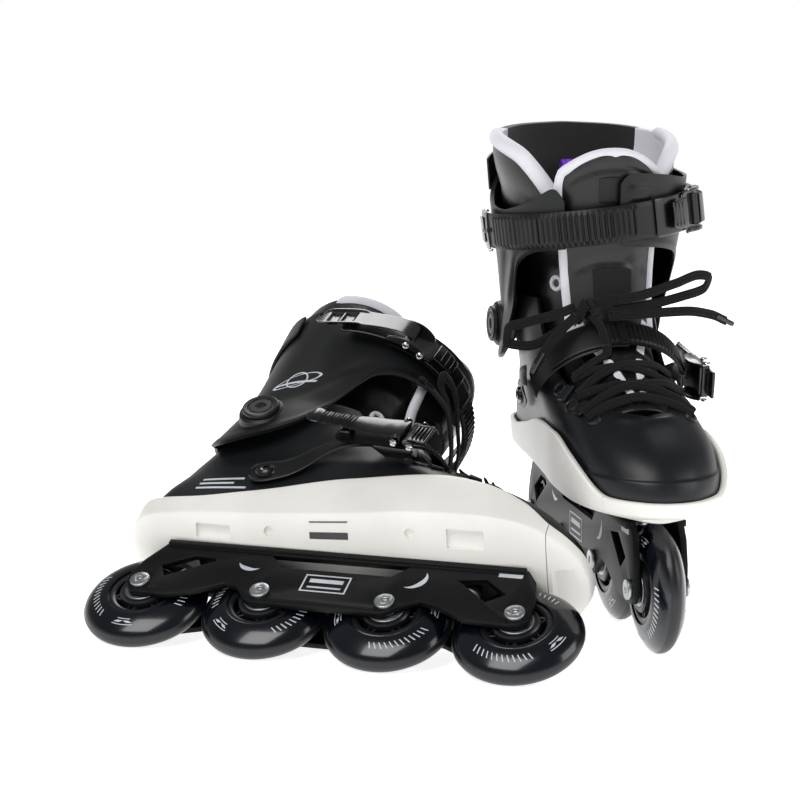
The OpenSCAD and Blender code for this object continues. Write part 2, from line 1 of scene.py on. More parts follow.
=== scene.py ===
import json
import math
import bpy
import numpy as np
from mathutils import Matrix, Vector
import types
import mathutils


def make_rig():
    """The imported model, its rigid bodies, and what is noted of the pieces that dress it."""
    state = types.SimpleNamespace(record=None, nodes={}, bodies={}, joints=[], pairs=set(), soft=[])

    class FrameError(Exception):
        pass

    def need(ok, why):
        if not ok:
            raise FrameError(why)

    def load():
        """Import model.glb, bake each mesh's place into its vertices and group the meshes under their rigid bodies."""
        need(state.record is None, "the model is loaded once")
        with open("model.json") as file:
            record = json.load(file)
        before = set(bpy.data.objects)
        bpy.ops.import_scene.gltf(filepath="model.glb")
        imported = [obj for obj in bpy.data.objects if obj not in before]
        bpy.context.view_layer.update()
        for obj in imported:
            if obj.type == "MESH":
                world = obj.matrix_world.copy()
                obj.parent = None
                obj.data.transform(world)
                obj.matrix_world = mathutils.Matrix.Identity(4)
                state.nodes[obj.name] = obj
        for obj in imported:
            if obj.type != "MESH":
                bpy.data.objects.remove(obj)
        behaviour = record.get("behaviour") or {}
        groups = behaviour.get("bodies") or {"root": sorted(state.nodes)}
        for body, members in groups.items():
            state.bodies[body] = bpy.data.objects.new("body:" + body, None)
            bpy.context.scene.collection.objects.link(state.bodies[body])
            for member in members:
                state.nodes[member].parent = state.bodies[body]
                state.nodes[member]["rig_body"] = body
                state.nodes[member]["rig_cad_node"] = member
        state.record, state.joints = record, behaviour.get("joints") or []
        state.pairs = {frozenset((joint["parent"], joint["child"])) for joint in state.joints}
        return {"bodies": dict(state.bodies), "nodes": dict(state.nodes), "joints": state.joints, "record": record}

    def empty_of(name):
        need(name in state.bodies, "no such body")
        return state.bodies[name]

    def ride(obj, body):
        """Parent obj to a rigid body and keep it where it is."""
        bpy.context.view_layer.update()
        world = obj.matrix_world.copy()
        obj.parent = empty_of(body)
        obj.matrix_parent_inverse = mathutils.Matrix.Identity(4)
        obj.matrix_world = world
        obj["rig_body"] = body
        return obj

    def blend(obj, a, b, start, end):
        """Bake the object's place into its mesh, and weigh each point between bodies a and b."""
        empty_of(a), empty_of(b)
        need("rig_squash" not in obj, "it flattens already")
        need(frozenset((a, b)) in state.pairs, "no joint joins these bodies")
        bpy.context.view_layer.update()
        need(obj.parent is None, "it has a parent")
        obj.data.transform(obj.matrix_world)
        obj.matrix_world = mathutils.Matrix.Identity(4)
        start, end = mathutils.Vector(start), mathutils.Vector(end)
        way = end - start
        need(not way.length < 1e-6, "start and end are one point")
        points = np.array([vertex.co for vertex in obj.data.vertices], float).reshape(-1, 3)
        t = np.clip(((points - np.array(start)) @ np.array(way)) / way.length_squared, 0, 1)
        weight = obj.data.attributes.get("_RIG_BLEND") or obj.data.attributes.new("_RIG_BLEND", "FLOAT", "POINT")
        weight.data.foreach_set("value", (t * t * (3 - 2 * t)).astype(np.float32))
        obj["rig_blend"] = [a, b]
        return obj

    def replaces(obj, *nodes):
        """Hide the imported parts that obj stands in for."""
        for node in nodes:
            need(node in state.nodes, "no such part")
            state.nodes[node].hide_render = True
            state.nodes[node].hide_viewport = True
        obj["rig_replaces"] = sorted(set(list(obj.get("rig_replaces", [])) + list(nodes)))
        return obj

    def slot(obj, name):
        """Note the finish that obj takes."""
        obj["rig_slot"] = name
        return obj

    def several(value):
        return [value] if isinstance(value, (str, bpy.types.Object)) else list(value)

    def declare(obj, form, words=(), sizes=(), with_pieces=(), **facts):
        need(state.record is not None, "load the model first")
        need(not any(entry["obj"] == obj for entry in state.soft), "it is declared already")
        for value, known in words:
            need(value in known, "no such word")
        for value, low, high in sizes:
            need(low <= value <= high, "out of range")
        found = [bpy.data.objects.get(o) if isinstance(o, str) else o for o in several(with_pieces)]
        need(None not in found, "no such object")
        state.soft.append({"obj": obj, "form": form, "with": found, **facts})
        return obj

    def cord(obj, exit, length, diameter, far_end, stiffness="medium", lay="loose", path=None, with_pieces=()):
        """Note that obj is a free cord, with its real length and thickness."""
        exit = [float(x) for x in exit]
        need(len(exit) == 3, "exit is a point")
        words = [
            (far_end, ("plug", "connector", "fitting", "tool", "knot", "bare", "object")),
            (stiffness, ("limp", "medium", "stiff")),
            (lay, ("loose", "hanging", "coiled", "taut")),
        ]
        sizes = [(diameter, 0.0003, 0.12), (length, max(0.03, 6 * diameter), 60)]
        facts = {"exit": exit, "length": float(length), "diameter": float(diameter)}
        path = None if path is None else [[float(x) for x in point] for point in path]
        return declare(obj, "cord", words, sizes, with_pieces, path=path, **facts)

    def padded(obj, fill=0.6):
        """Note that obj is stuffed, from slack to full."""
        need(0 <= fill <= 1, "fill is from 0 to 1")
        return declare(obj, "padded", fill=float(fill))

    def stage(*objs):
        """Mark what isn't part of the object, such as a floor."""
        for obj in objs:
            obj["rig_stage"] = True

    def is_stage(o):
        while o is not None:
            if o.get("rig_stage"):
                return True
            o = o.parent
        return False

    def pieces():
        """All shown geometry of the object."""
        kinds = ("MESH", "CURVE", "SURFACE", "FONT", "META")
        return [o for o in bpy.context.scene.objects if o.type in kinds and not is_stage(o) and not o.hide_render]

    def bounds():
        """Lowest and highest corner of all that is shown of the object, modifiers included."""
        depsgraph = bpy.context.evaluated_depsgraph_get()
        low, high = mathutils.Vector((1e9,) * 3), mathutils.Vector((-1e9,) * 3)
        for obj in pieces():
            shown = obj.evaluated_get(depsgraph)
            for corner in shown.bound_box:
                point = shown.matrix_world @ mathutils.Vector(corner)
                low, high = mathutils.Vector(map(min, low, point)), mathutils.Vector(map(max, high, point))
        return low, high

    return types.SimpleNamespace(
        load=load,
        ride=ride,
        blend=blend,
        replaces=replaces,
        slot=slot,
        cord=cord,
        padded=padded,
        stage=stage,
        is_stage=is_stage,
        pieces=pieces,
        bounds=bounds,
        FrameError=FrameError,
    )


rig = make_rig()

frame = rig.load()
cad_box = [list(corner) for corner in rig.bounds()]

move = Matrix.Translation
show = bpy.context.scene.collection.objects.link


def rotate(degrees, axis):
    return Matrix.Rotation(math.radians(degrees), 4, axis)


# ---- Camera: in front of the standing skate, low, a little towards its inner side ----
camera = bpy.data.objects.new("camera", bpy.data.cameras.new("camera"))
show(camera)
camera.data.lens = 91.9
camera.location = (-0.376, -1.290, 0.347)
camera.rotation_euler = (math.radians(81.1), 0, math.radians(-10.5))
bpy.context.scene.camera = camera

# ---- Where each skate is. Pieces are made in millimetres on the left skate: x forward, y to its
# outer side, z up, and the right skate gets their mirror image. ----
SIDES = ("left", "right")
joint_at = {j["child"]: Vector(j["pos_m"]) for j in frame["joints"] if "pos_m" in j}
AXLE_H = 40.0
AXLE_PITCH = 81.5
BASE_Z = 81.0
PIVOT = (-86.0, 0.0, 180.0)
LEG_X = -60
IN_LEG = (LEG_X, 0, 200)


def skate_matrix(side):
    """From the left skate's millimetres to the row frame."""
    heel, toe = joint_at[side + "_wheel_1"], joint_at[side + "_wheel_4"]
    middle = (heel + toe) / 2
    forward = (toe - heel).normalized()
    rise = joint_at[side + "_cuff"] - middle
    up = (rise - forward * rise.dot(forward)).normalized()
    outer = up.cross(forward) * (1 if side == "left" else -1)
    m = Matrix((forward, outer, up)).transposed().to_4x4() @ Matrix.Scale(0.001, 4)
    m.translation = middle - up * (AXLE_H / 1000)
    return m


PLACE = {side: skate_matrix(side) for side in SIDES}


# ---- Materials ----
def linear(hex_colour):
    """An sRGB hex colour as linear red, green, blue, alpha."""
    parts = [int(hex_colour[i:i + 2], 16) / 255 for i in (1, 3, 5)]
    return [c / 12.92 if c <= 0.04045 else ((c + 0.055) / 1.055) ** 2.4 for c in parts] + [1]


def add_node(tree, kind, settings=None, **links):
    """Adds a node; a link's key is the input's name with _ for a space, its value a number or an output."""
    n = tree.nodes.new(kind)
    for key, value in (settings or {}).items():
        setattr(n, key, value)
    for key, value in links.items():
        by_number = key[0] == "i" and key[1:].isdigit()
        socket = n.inputs[int(key[1:]) if by_number else key.replace("_", " ")]
        if isinstance(value, bpy.types.NodeSocket):
            tree.links.new(value, socket)
        else:
            socket.default_value = value
    return n


def new_material(name, colour, roughness, metallic=0.0, **constants):
    m = bpy.data.materials.new(name)
    m.use_nodes = True
    tree = m.node_tree
    shader = tree.nodes["Principled BSDF"]
    shader.inputs["Base Color"].default_value = linear(colour)
    shader.inputs["Roughness"].default_value = roughness
    shader.inputs["Metallic"].default_value = metallic
    for key, value in constants.items():
        shader.inputs[key.replace("_", " ")].default_value = value
    return m, tree, shader


def object_points(tree):
    return add_node(tree, "ShaderNodeTexCoord").outputs["Object"]


def two_colours(tree, shader, source, dark, light, spread=(0.0, 1.0)):
    """Base colour from dark to light as the source rises over spread."""
    ramp = add_node(tree, "ShaderNodeValToRGB", i0=source)
    for stop, position, colour in zip(ramp.color_ramp.elements, spread, (dark, light)):
        stop.position = position
        stop.color = linear(colour)
    tree.links.new(ramp.outputs[0], shader.inputs["Base Color"])


def two_tone(tree, shader, points, size_mm, dark, light):
    """Slow colour change over patches of about size_mm."""
    noise = add_node(tree, "ShaderNodeTexNoise", Vector=points, Scale=1000 / size_mm, Detail=4.0)
    two_colours(tree, shader, noise.outputs[0], dark, light, (0.35, 0.65))
    return noise


def rough_range(tree, shader, source, low, high):
    spread = add_node(tree, "ShaderNodeMapRange", i0=source, i3=low, i4=high)
    tree.links.new(spread.outputs[0], shader.inputs["Roughness"])


def grain(tree, shader, height, strength, depth_mm):
    bump = add_node(tree, "ShaderNodeBump", Height=height, Strength=strength, Distance=depth_mm / 1000)
    tree.links.new(bump.outputs[0], shader.inputs["Normal"])


def moulded(name, dark, light, rough, grain_mm, depth_mm=0.03, **constants):
    """Injection-moulded plastic: fine spark-eroded grain, slow change of tone and gloss."""
    m, tree, shader = new_material(name, dark, sum(rough) / 2, **constants)
    points = object_points(tree)
    slow = two_tone(tree, shader, points, 45, dark, light)
    rough_range(tree, shader, slow.outputs[0], *rough)
    fine = add_node(tree, "ShaderNodeTexNoise", Vector=points, Scale=1000 / grain_mm, Detail=2.0)
    grain(tree, shader, fine.outputs[0], 0.35, depth_mm)
    return m


def metal(name, colour, rough, line_mm):
    """Turned, ground or anodised metal: a fine grain that breaks up the highlight."""
    m, tree, shader = new_material(name, colour, rough, 1.0)
    points = object_points(tree)
    lines = add_node(tree, "ShaderNodeTexNoise", Vector=points, Scale=1000 / line_mm, Detail=3.0)
    rough_range(tree, shader, lines.outputs[0], rough * 0.7, rough * 1.4)
    grain(tree, shader, lines.outputs[0], 0.15, 0.02)
    return m


def leather(name, dark, light, rough, grain_mm, **constants):
    """Polyurethane-coated synthetic leather: shallow pebble grain with a soft shine."""
    m, tree, shader = new_material(name, dark, sum(rough) / 2, **constants)
    points = object_points(tree)
    slow = two_tone(tree, shader, points, 30, dark, light)
    rough_range(tree, shader, slow.outputs[0], *rough)
    pebble = add_node(tree, "ShaderNodeTexVoronoi", Vector=points, Scale=1000 / grain_mm)
    fold = add_node(tree, "ShaderNodeTexNoise", Vector=points, Scale=1000 / 14, Detail=3.0)
    both = add_node(tree, "ShaderNodeMath", {"operation": "ADD"}, i0=pebble.outputs[0], i1=fold.outputs[0])
    grain(tree, shader, both.outputs[0], 0.35, 0.25)
    return m


# A Wave node draws 20 / FULL_TURN bands in a unit at scale 1
FULL_TURN = 6.2832


def woven(name, dark, light, across, along, depth_mm, **constants):
    """Narrow fabric: threads counted across and along on the piece's own UV map."""
    m, tree, shader = new_material(name, dark, 0.85, **constants)
    uv = add_node(tree, "ShaderNodeUVMap").outputs[0]
    weft, warp = (add_node(tree, "ShaderNodeTexWave", {"bands_direction": way}, Vector=uv,
                           Scale=count / FULL_TURN * 2,
                           Distortion=0.6) for way, count in (("Y", along), ("X", across)))
    cloth = add_node(tree, "ShaderNodeMath", {"operation": "MULTIPLY"}, i0=weft.outputs[1],
                     i1=warp.outputs[1])
    two_colours(tree, shader, cloth.outputs[0], dark, light)
    grain(tree, shader, cloth.outputs[0], 0.8, depth_mm)
    return m


def knitted(name, dark, light, stitch_mm, **constants):
    """Jersey or mesh on foam: small soft cells."""
    m, tree, shader = new_material(name, dark, 0.9, **constants)
    points = object_points(tree)
    cells = add_node(tree, "ShaderNodeTexVoronoi", Vector=points, Scale=1000 / stitch_mm)
    two_colours(tree, shader, cells.outputs[0], dark, light)
    grain(tree, shader, cells.outputs[0], 0.5, 0.3)
    return m


# Polyurethane shell, moulded with a fine texture: soft broad highlights on near-black, slightly blue
SHELL = moulded("shell_moulded_polyurethane", "#0c0e11", "#121418", (0.33, 0.43), 0.6,
                 Specular_IOR_Level=0.4)
# Cuff, the same plastic with a drier texture: a greyer, flatter black
CUFF = moulded("cuff_moulded_polyurethane", "#0c0d0f", "#121315", (0.38, 0.48), 0.6,
                Specular_IOR_Level=0.36)
# Glass-filled nylon base, white: a clean, slightly warm white with a silky shine
BASE = moulded("base_moulded_nylon_white", "#e4e2dc", "#eceae5", (0.34, 0.44), 0.8, 0.02)
# Strap plastic, flexible: black with a dull shine
STRAP = moulded("strap_moulded_elastomer", "#08090a", "#0d0e0f", (0.36, 0.46), 0.7,
                 Specular_IOR_Level=0.36)
# Buckle nylon, polished tool: deep gloss black
BUCKLE = moulded("buckle_moulded_nylon_gloss", "#060607", "#09090b", (0.2, 0.3), 2.5, 0.01, Coat_Weight=0.25,
                 Coat_Roughness=0.12)
# Hard-anodised aluminium: satin black with a faint grain. The oxide hides the metal, so it isn't metallic
FRAME = metal("frame_anodised_aluminium_black", "#060708", 0.42, 0.5)
FRAME.node_tree.nodes["Principled BSDF"].inputs["Metallic"].default_value = 0.0
FRAME.node_tree.nodes["Principled BSDF"].inputs["Specular IOR Level"].default_value = 0.18
# Zinc-plated steel of axles and bolts: bright grey, small lines
STEEL = metal("axle_zinc_plated_steel", "#b4b7ba", 0.3, 0.4)
# Polished steel of buckle rivets: a small mirror
CHROME = metal("rivet_nickel_plated_steel", "#d4d6d8", 0.14, 0.6)
# Ground steel of bearing rings and shields
BEARING = metal("bearing_ground_steel", "#9c9fa3", 0.28, 0.3)
# Cast urethane tyre, dark navy, polished mould: wet-looking sides
TYRE = moulded("tyre_cast_urethane_navy", "#04060d", "#070a14", (0.15, 0.24), 8, 0.01, Coat_Weight=0.3,
               Coat_Roughness=0.04)
# Running surface of the tyre, ground off: matt grey-blue, fine turning marks
TREAD = moulded("tyre_ground_running_band", "#0a0c12", "#11141b", (0.3, 0.42), 0.9, 0.05)
# Wheel core, glass-filled nylon with graphite colour
CORE = moulded("wheel_core_glass_filled_nylon", "#121317", "#1b1c21", (0.24, 0.34), 0.7)
# Pad-printed white ink
INK = moulded("pad_printed_white_ink", "#b9bfc7", "#cdd2d8", (0.4, 0.55), 1.5, 0.01)
# Woven polyester lace, flat: dull black. Its ribs are drawn about 1.2 mm apart, coarser than real, to show
LACE = woven("lace_woven_polyester", "#050505", "#121111", 8, 85, 0.4, Sheen_Weight=0.06,
             Specular_IOR_Level=0.25)
# Synthetic leather of liner and tongue, black: a soft glossy skin over foam
LEATHER = leather("liner_synthetic_leather_black", "#09090a", "#101012", (0.26, 0.38), 0.9)
# Microfibre trim, white
TRIM = leather("liner_microfibre_white", "#d3d3da", "#dcdce2", (0.6, 0.75), 0.8, Sheen_Weight=0.3)
# Neoprene with jersey lining
LINING = knitted("lining_neoprene_black", "#060607", "#121214", 0.9, Sheen_Weight=0.4)
# Spacer mesh patch on the tongue
MESH = knitted("tongue_spacer_mesh_black", "#030303", "#161617", 1.6)
# Nylon webbing pull tab, purple
TAB = woven("pull_tab_webbing_purple", "#6d2cc4", "#9a5cf0", 12, 40, 0.3)
# Felted foam footbed
FELT = knitted("footbed_felted_foam", "#161618", "#26262a", 1.2)


# ---- Shaping helpers ----
def deselect():
    if bpy.context.object and bpy.context.object.mode != "OBJECT":
        bpy.ops.object.mode_set(mode="OBJECT")
    bpy.ops.object.select_all(action="DESELECT")


def only(o):
    deselect()
    o.select_set(True)
    bpy.context.view_layer.objects.active = o


def in_edit(o, *steps, pick=None):
    """Runs edit-mode operators on the whole piece, or on the faces or points that pick(mesh) gives."""
    only(o)
    bpy.ops.object.mode_set(mode="EDIT")
    bpy.ops.mesh.select_all(action="DESELECT" if pick else "SELECT")
    if pick:
        bpy.ops.object.mode_set(mode="OBJECT")
        for element in pick(o.data):
            element.select = True
        bpy.ops.object.mode_set(mode="EDIT")
    for step in steps:
        step()
    bpy.ops.object.mode_set(mode="OBJECT")


def merge():
    bpy.ops.mesh.remove_doubles(threshold=0.02)


def face_out():
    bpy.ops.mesh.normals_make_consistent(inside=False)


def modify(o, kind, **settings):
    only(o)
    m = o.modifiers.new(kind, kind)
    for key, value in settings.items():
        setattr(m, key, value)
    bpy.ops.object.modifier_apply(modifier=m.name)


def bevel(o, width, segments=2, angle=50):
    """Rounds the edges that turn by more than angle degrees."""
    modify(o, "BEVEL", width=width, segments=segments, limit_method="ANGLE", angle_limit=math.radians(angle))


def subdivide(o, levels=1):
    modify(o, "SUBSURF", levels=levels, render_levels=levels)


def smooth(o, angle=None):
    only(o)
    if angle is None:
        bpy.ops.object.shade_smooth()
    else:
        bpy.ops.object.shade_smooth_by_angle(angle=math.radians(angle))


class Curve:
    """A smooth line through a table of numbers, without overshoot."""

    def __init__(self, table):
        self.x = np.array([r[0] for r in table], float)
        self.y = np.array([r[1] for r in table], float)
        d = np.diff(self.y) / np.diff(self.x)
        m = np.zeros(len(self.x))
        m[0], m[-1] = d[0], d[-1]
        for i in range(1, len(m) - 1):
            if d[i - 1] * d[i] > 0:
                m[i] = 2 * d[i - 1] * d[i] / (d[i - 1] + d[i])
        self.m = m

    def __call__(self, v):
        v = min(max(v, self.x[0]), self.x[-1])
        i = min(int(np.searchsorted(self.x, v, side="right")) - 1, len(self.x) - 2)
        w = self.x[i + 1] - self.x[i]
        t = (v - self.x[i]) / w
        return ((2 * t ** 3 - 3 * t ** 2 + 1) * self.y[i] + (t ** 3 - 2 * t ** 2 + t) * w * self.m[i]
                + (3 * t ** 2 - 2 * t ** 3) * self.y[i + 1] + (t ** 3 - t ** 2) * w * self.m[i + 1])


# Half width of a foot by angle from the toe, as a share of the ball's
FOOT = Curve([[0, 0], [12.9, 0.34], [19.9, 0.5], [30.7, 0.74], [43.4, 0.93], [57.7, 1], [71.9, 0.98],
              [90.6, 0.87], [109.3, 0.78], [126.9, 0.73], [141.2, 0.68], [154.2, 0.6], [167.1, 0.36],
              [180, 0]])


def ease(v, a, b):
    """0 before a, 1 after b, smooth between."""
    t = min(max((v - a) / (b - a), 0), 1)
    return t * t * (3 - 2 * t)


def bell(v, middle, half):
    return math.exp(-((v - middle) / half) ** 2)


class Form:
    """A boot surface from rows of height over the base's underside, back, front, outer side, inner side and
    roundness."""

    def __init__(self, rows):
        self.tables = [Curve([[r[0], r[k]] for r in rows]) for k in range(1, 6)]

    def raw(self, a, h):
        back, front, outer, inner, round_ = (t(h) for t in self.tables)
        a = (a + 180) % 360 - 180
        c = math.cos(math.radians(a))
        w = FOOT(abs(a)) * (1 - round_) + abs(math.sin(math.radians(a))) * round_
        return Vector((back + (front - back) * (1 + c) / 2, w * (outer if a >= 0 else -inner), BASE_Z + h))

    def normal(self, a, h):
        n = (self.raw(a + 1, h) - self.raw(a - 1, h)).cross(self.raw(a, h + 0.5) - self.raw(a, h - 0.5))
        return n.normalized()

    def at(self, a, h, out=0.0):
        """The point at angle a (from the toe, through the outer side) and height h, lifted off by out."""
        p = self.raw(a, h)
        return p + self.normal(a, h) * out if out else p


def grid(name, rows, cols, where):
    """A grid laid on a surface: where(u, w) is a point, u along the columns and w along the rows."""
    deselect()
    bpy.ops.mesh.primitive_grid_add(x_subdivisions=cols, y_subdivisions=rows, size=1)
    o = bpy.context.object
    o.name = name
    for v in o.data.vertices:
        v.co = where(v.co.x + 0.5, v.co.y + 0.5)
    return o


def turned_out(o, centre):
    """Makes an open surface face away from centre."""
    c = Vector(centre)
    if sum(p.normal.dot(p.center - c) * p.area for p in o.data.polygons) < 0:
        in_edit(o, bpy.ops.mesh.flip_normals)
    return o


def thicken(o, t, edge=0.0, levels=1):
    """Gives a surface a wall on its inner side, with rounded edges."""
    modify(o, "SOLIDIFY", thickness=t, offset=-1, use_even_offset=True, thickness_clamp=1.0)
    if edge:
        bevel(o, edge)
    if levels:
        subdivide(o, levels)
    smooth(o, 40)
    return o


def block(name, size, at, edge=1.0, inset=None, turn=None):
    """A moulded block with rounded edges; inset = (margin, depth) sinks its outer face."""
    deselect()
    bpy.ops.mesh.primitive_cube_add(size=1)
    o = bpy.context.object
    o.name = name
    for v in o.data.vertices:
        v.co = Vector((v.co.x * size[0], v.co.y * size[1], v.co.z * size[2]))
    if inset:
        in_edit(o, lambda: bpy.ops.mesh.inset(thickness=inset[0]),
                lambda: bpy.ops.transform.translate(value=(0, -inset[1], 0)),
                pick=lambda mesh: [p for p in mesh.polygons if p.normal.y > 0.9])
    bevel(o, edge, 3, 30)
    if turn:
        o.data.transform(turn)
    o.data.transform(move(at))
    smooth(o, 35)
    return o


def lathe(name, profile, steps=48):
    """A piece turned about y: profile points are (radius, along the axis)."""
    deselect()
    bpy.ops.mesh.primitive_circle_add(vertices=len(profile), radius=1)
    o = bpy.context.object
    o.name = name
    for v, (r, z) in zip(o.data.vertices, profile):
        v.co = Vector((r, 0, z))
    in_edit(o, lambda: bpy.ops.mesh.spin(steps=steps, angle=2 * math.pi, center=(0, 0, 0), axis=(0, 0, 1)),
            merge, face_out)
    o.data.transform(rotate(-90, "X"))
    smooth(o, 35)
    return o


def copy_of(o, turn=None):
    twin = o.copy()
    twin.data = o.data.copy()
    show(twin)
    if turn:
        twin.data.transform(turn)
    return twin


def joined(name, pieces):
    deselect()
    for p in pieces:
        p.select_set(True)
    bpy.context.view_layer.objects.active = pieces[0]
    bpy.ops.object.join()
    o = bpy.context.object
    o.name = name
    return o


def paint(o, *materials, pick=None):
    """Gives the piece its materials; pick(face) is the number of the one that a face has."""
    o.data.materials.clear()
    for m in materials:
        o.data.materials.append(m)
    for p in o.data.polygons:
        p.material_index = pick(p) if pick else 0
    return o


made = {}


def put(o, name, body, slot, replaces=(), across=None):
    """Puts the piece on both skates. across = (start, end) bends it from the boot to the cuff."""
    for side in SIDES:
        m = o.data.copy()
        m.transform(PLACE[side])
        if side == "right":
            m.flip_normals()
        piece = bpy.data.objects.new(side + "_" + name, m)
        show(piece)
        if across:
            start, end = (PLACE[side] @ Vector(p) for p in across)
            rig.blend(piece, side + "_boot", side + "_cuff", start, end)
        else:
            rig.ride(piece, side + "_" + body)
        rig.slot(piece, slot)
        for node in replaces:
            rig.replaces(piece, side + "_" + node)
        made[piece.name] = piece
    bpy.data.objects.remove(o)


def softened(node, name, body, slot, material, edge=0.4):
    """A CAD node with its sharp edges broken, on both skates."""
    for side in SIDES:
        m = frame["nodes"][side + "_" + node].data.copy()
        piece = bpy.data.objects.new(side + "_" + name, m)
        show(piece)
        in_edit(piece, lambda: bpy.ops.mesh.remove_doubles(threshold=0.00001),
                lambda: bpy.ops.mesh.dissolve_limited(angle_limit=math.radians(1)), face_out)
        bpy.ops.object.shade_flat()
        bevel(piece, edge / 1000, 2, 40)
        smooth(piece, 40)
        paint(piece, material)
        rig.ride(piece, side + "_" + body)
        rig.slot(piece, slot)
        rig.replaces(piece, side + "_" + node)
        made[piece.name] = piece


def on_flank(o, sign, x, y, z):
    """Turns a piece that faces +y to the outer (1) or inner (-1) side and puts it y from the middle."""
    if sign < 0:
        o.data.transform(rotate(180, "X"))
    o.data.transform(move((x, sign * y, z)))
    return o


# ---- Boot shell ----
SHELL_FORM = Form([
    [13.5, -147.5, 149, 44.3, 42.3, 0], [18, -148.3, 151, 44.7, 42.7, 0], [31, -148.5, 147, 45.4, 43.4, 0],
    [43, -146.5, 136, 46, 44, 0.1], [53, -143, 118, 45.5, 44.3, 0.25], [62, -140, 97, 45, 44.5, 0.45],
    [71, -138, 72, 44, 43.5, 0.6], [82, -134, 48, 44.5, 44, 0.75], [97, -127.5, 28, 46, 46, 0.9],
    [105, -123, 20, 46.5, 46.5, 1], [114, -120.5, 12, 46, 46, 1], [123, -118.5, 4, 45.5, 45.5, 1]])
SHELL_WALL = 3.4
# Throat's edge: angle from the toe by height
THROAT = Curve([[61.9, 0], [63, 15], [65, 28], [68, 38], [74, 47], [82, 53], [97, 57], [123, 60]])
SHELL_ROWS = [13.5, 16, 20, 25, 28.6, 29.4, 30.2, 32, 36, 41, 46, 51, 55, 57.5, 58.8, 59.6, 60.4, 61.2, 62,
              62.6, 63.3,
              64.2, 65.5, 67.5, 70, 73.5, 78, 84, 91, 98, 106, 115, 123]


def rows_at(rows, w):
    return float(np.interp(w, np.linspace(0, 1, len(rows)), rows))


def shell_lift(a, h):
    """Raised toe bumper below, a bar in front of the throat, a fine mould parting line."""
    a = (a + 180) % 360 - 180
    p = SHELL_FORM.raw(a, h)
    lift = 1.3 * (1 - ease(h, 29.0, 30.4)) * (1 - ease(abs(a), 95, 125))
    lift += 1.7 * bell(h, 59.6, 1.5) * (1 - ease(abs(p.y), 15, 21)) * (p.x > 60)
    if abs(a) < 0.3 and h < 61.5:
        lift -= 0.45
    return lift


def shell_point(u, w):
    h = rows_at(SHELL_ROWS, w)
    open_to = THROAT(h) if h > 61.9 else 0
    u = u + 0.06 * math.sin(2 * math.pi * u) / (2 * math.pi)
    a = open_to + (360 - 2 * open_to) * u
    if 0 < u < 0.02 and h < 62:
        a = min(a, 2.2)
    return SHELL_FORM.at(a, h, shell_lift(a, h))


shell = grid("shell", len(SHELL_ROWS) - 1, 112, shell_point)
in_edit(shell, merge)
turned_out(shell, (0, 0, 120))
thicken(shell, SHELL_WALL, 0.7)
put(paint(shell, SHELL), "boot_shell_piece", "boot", "shell_plastic", ("boot_shell",))

# Lace eyelets: three on each side, with a pressed rim, a black disc filling each hole as painted shade, and a tab
# towards the throat
EYELETS = [(33.5, 58.6), (45.5, 63.4), (52.5, 70.0)]


def frame_at(form, a, h, out=0.0):
    """A frame on a surface: x along the surface forward, y outwards."""
    y = form.normal(a, h)
    x = (Vector((1, 0, 0.4)) - y * y.dot(Vector((1, 0, 0.4)))).normalized()
    m = Matrix((x, y, x.cross(y))).transposed().to_4x4()
    m.translation = form.at(a, h, out)
    return m


rims, holes, tabs = [], [], []
for sign in (1, -1):
    for a, h in EYELETS:
        turn = frame_at(SHELL_FORM, sign * a, h, 0.1)
        rim = lathe("rim", [(3.0, 0.0), (3.1, 0.9), (3.7, 1.4), (4.5, 1.2), (5.1, 0.4), (5.2, -0.8),
                            (3.0, -0.8)], steps=28)
        rim.data.transform(turn @ Matrix.Scale(1.25, 4, (1, 0, 0)))
        rims.append(rim)
        # A flat black disc inside the rim: painted shade standing in for the dark inside of the hole
        hole = lathe("hole", [(0.01, 0.35), (3.2, 0.35), (3.2, -0.6), (0.01, -0.6)], steps=24)
        hole.data.transform(turn @ Matrix.Scale(1.25, 4, (1, 0, 0)))
        holes.append(hole)
    for (a1, h1), (a2, h2) in zip(EYELETS, EYELETS[1:]):
        a, h = (a1 + a2) / 2 - 1.5, (h1 + h2) / 2 + 1.6
        tabs.append(block("tab", (8.5, 2.6, 12), (0, 0, 0), 0.9, (1.3, 0.5),
                          frame_at(SHELL_FORM, sign * a, h, 1.2)))
put(paint(joined("rims", rims), SHELL), "eyelet_rims", "boot", "shell_plastic")
# The black eyelet discs are painted shade of the holes, not real bushes
put(paint(joined("holes", holes), BUCKLE), "eyelet_hole_shade_discs", "boot", "buckle_black")
put(paint(joined("tabs", tabs), SHELL), "eyelet_tabs", "boot", "shell_plastic")

# ---- Base ----
BASE_FORM = Form([[0, -128, 128, 20, 20, 0.3], [10, -153, 154, 49, 47, 0], [13, -154, 155, 49.5, 47.5, 0],
                  [46, -157, 158, 52, 50, 0]])
RIM = Curve([[-157, 27], [-115, 26], [-72, 32], [-7, 44], [54, 46], [90, 39], [115, 29], [135, 19],
             [158, 18]])
BASE_WALL = 4.0
BASE_HALF_LONG, BASE_HALF_WIDE = 157, 50
# Height of the floor inside the base above its underside
SOLE_H = 13
# Profile from the middle of the underside, out, up the wall and back in: share of the way, height, inset
BASE_PROFILE = [("mid", 0.0), ("low", 0.0), ("low", 0.6), ("low", 3.5), ("low", 7.0), ("low", 9.3),
                ("low", 9.9),
                ("low", 10.6), ("low", 12), ("up", 0.15), ("up", 0.4), ("up", 0.7), ("up", 0.9),
                ("rim", 0.3, 0.9),
                ("rim", 0.9, 0.1), ("rim", 2.6, 0.0), ("rim", 3.6, 0.2), ("rim", 4.0, 1.0), ("in", 0.5),
                ("floor", 1),
                ("mid", 13.0)]


def inset_from(p, by):
    """A point of the base moved in by about this much."""
    return Vector((p.x * (1 - by / BASE_HALF_LONG), p.y * (1 - by / BASE_HALF_WIDE), p.z))


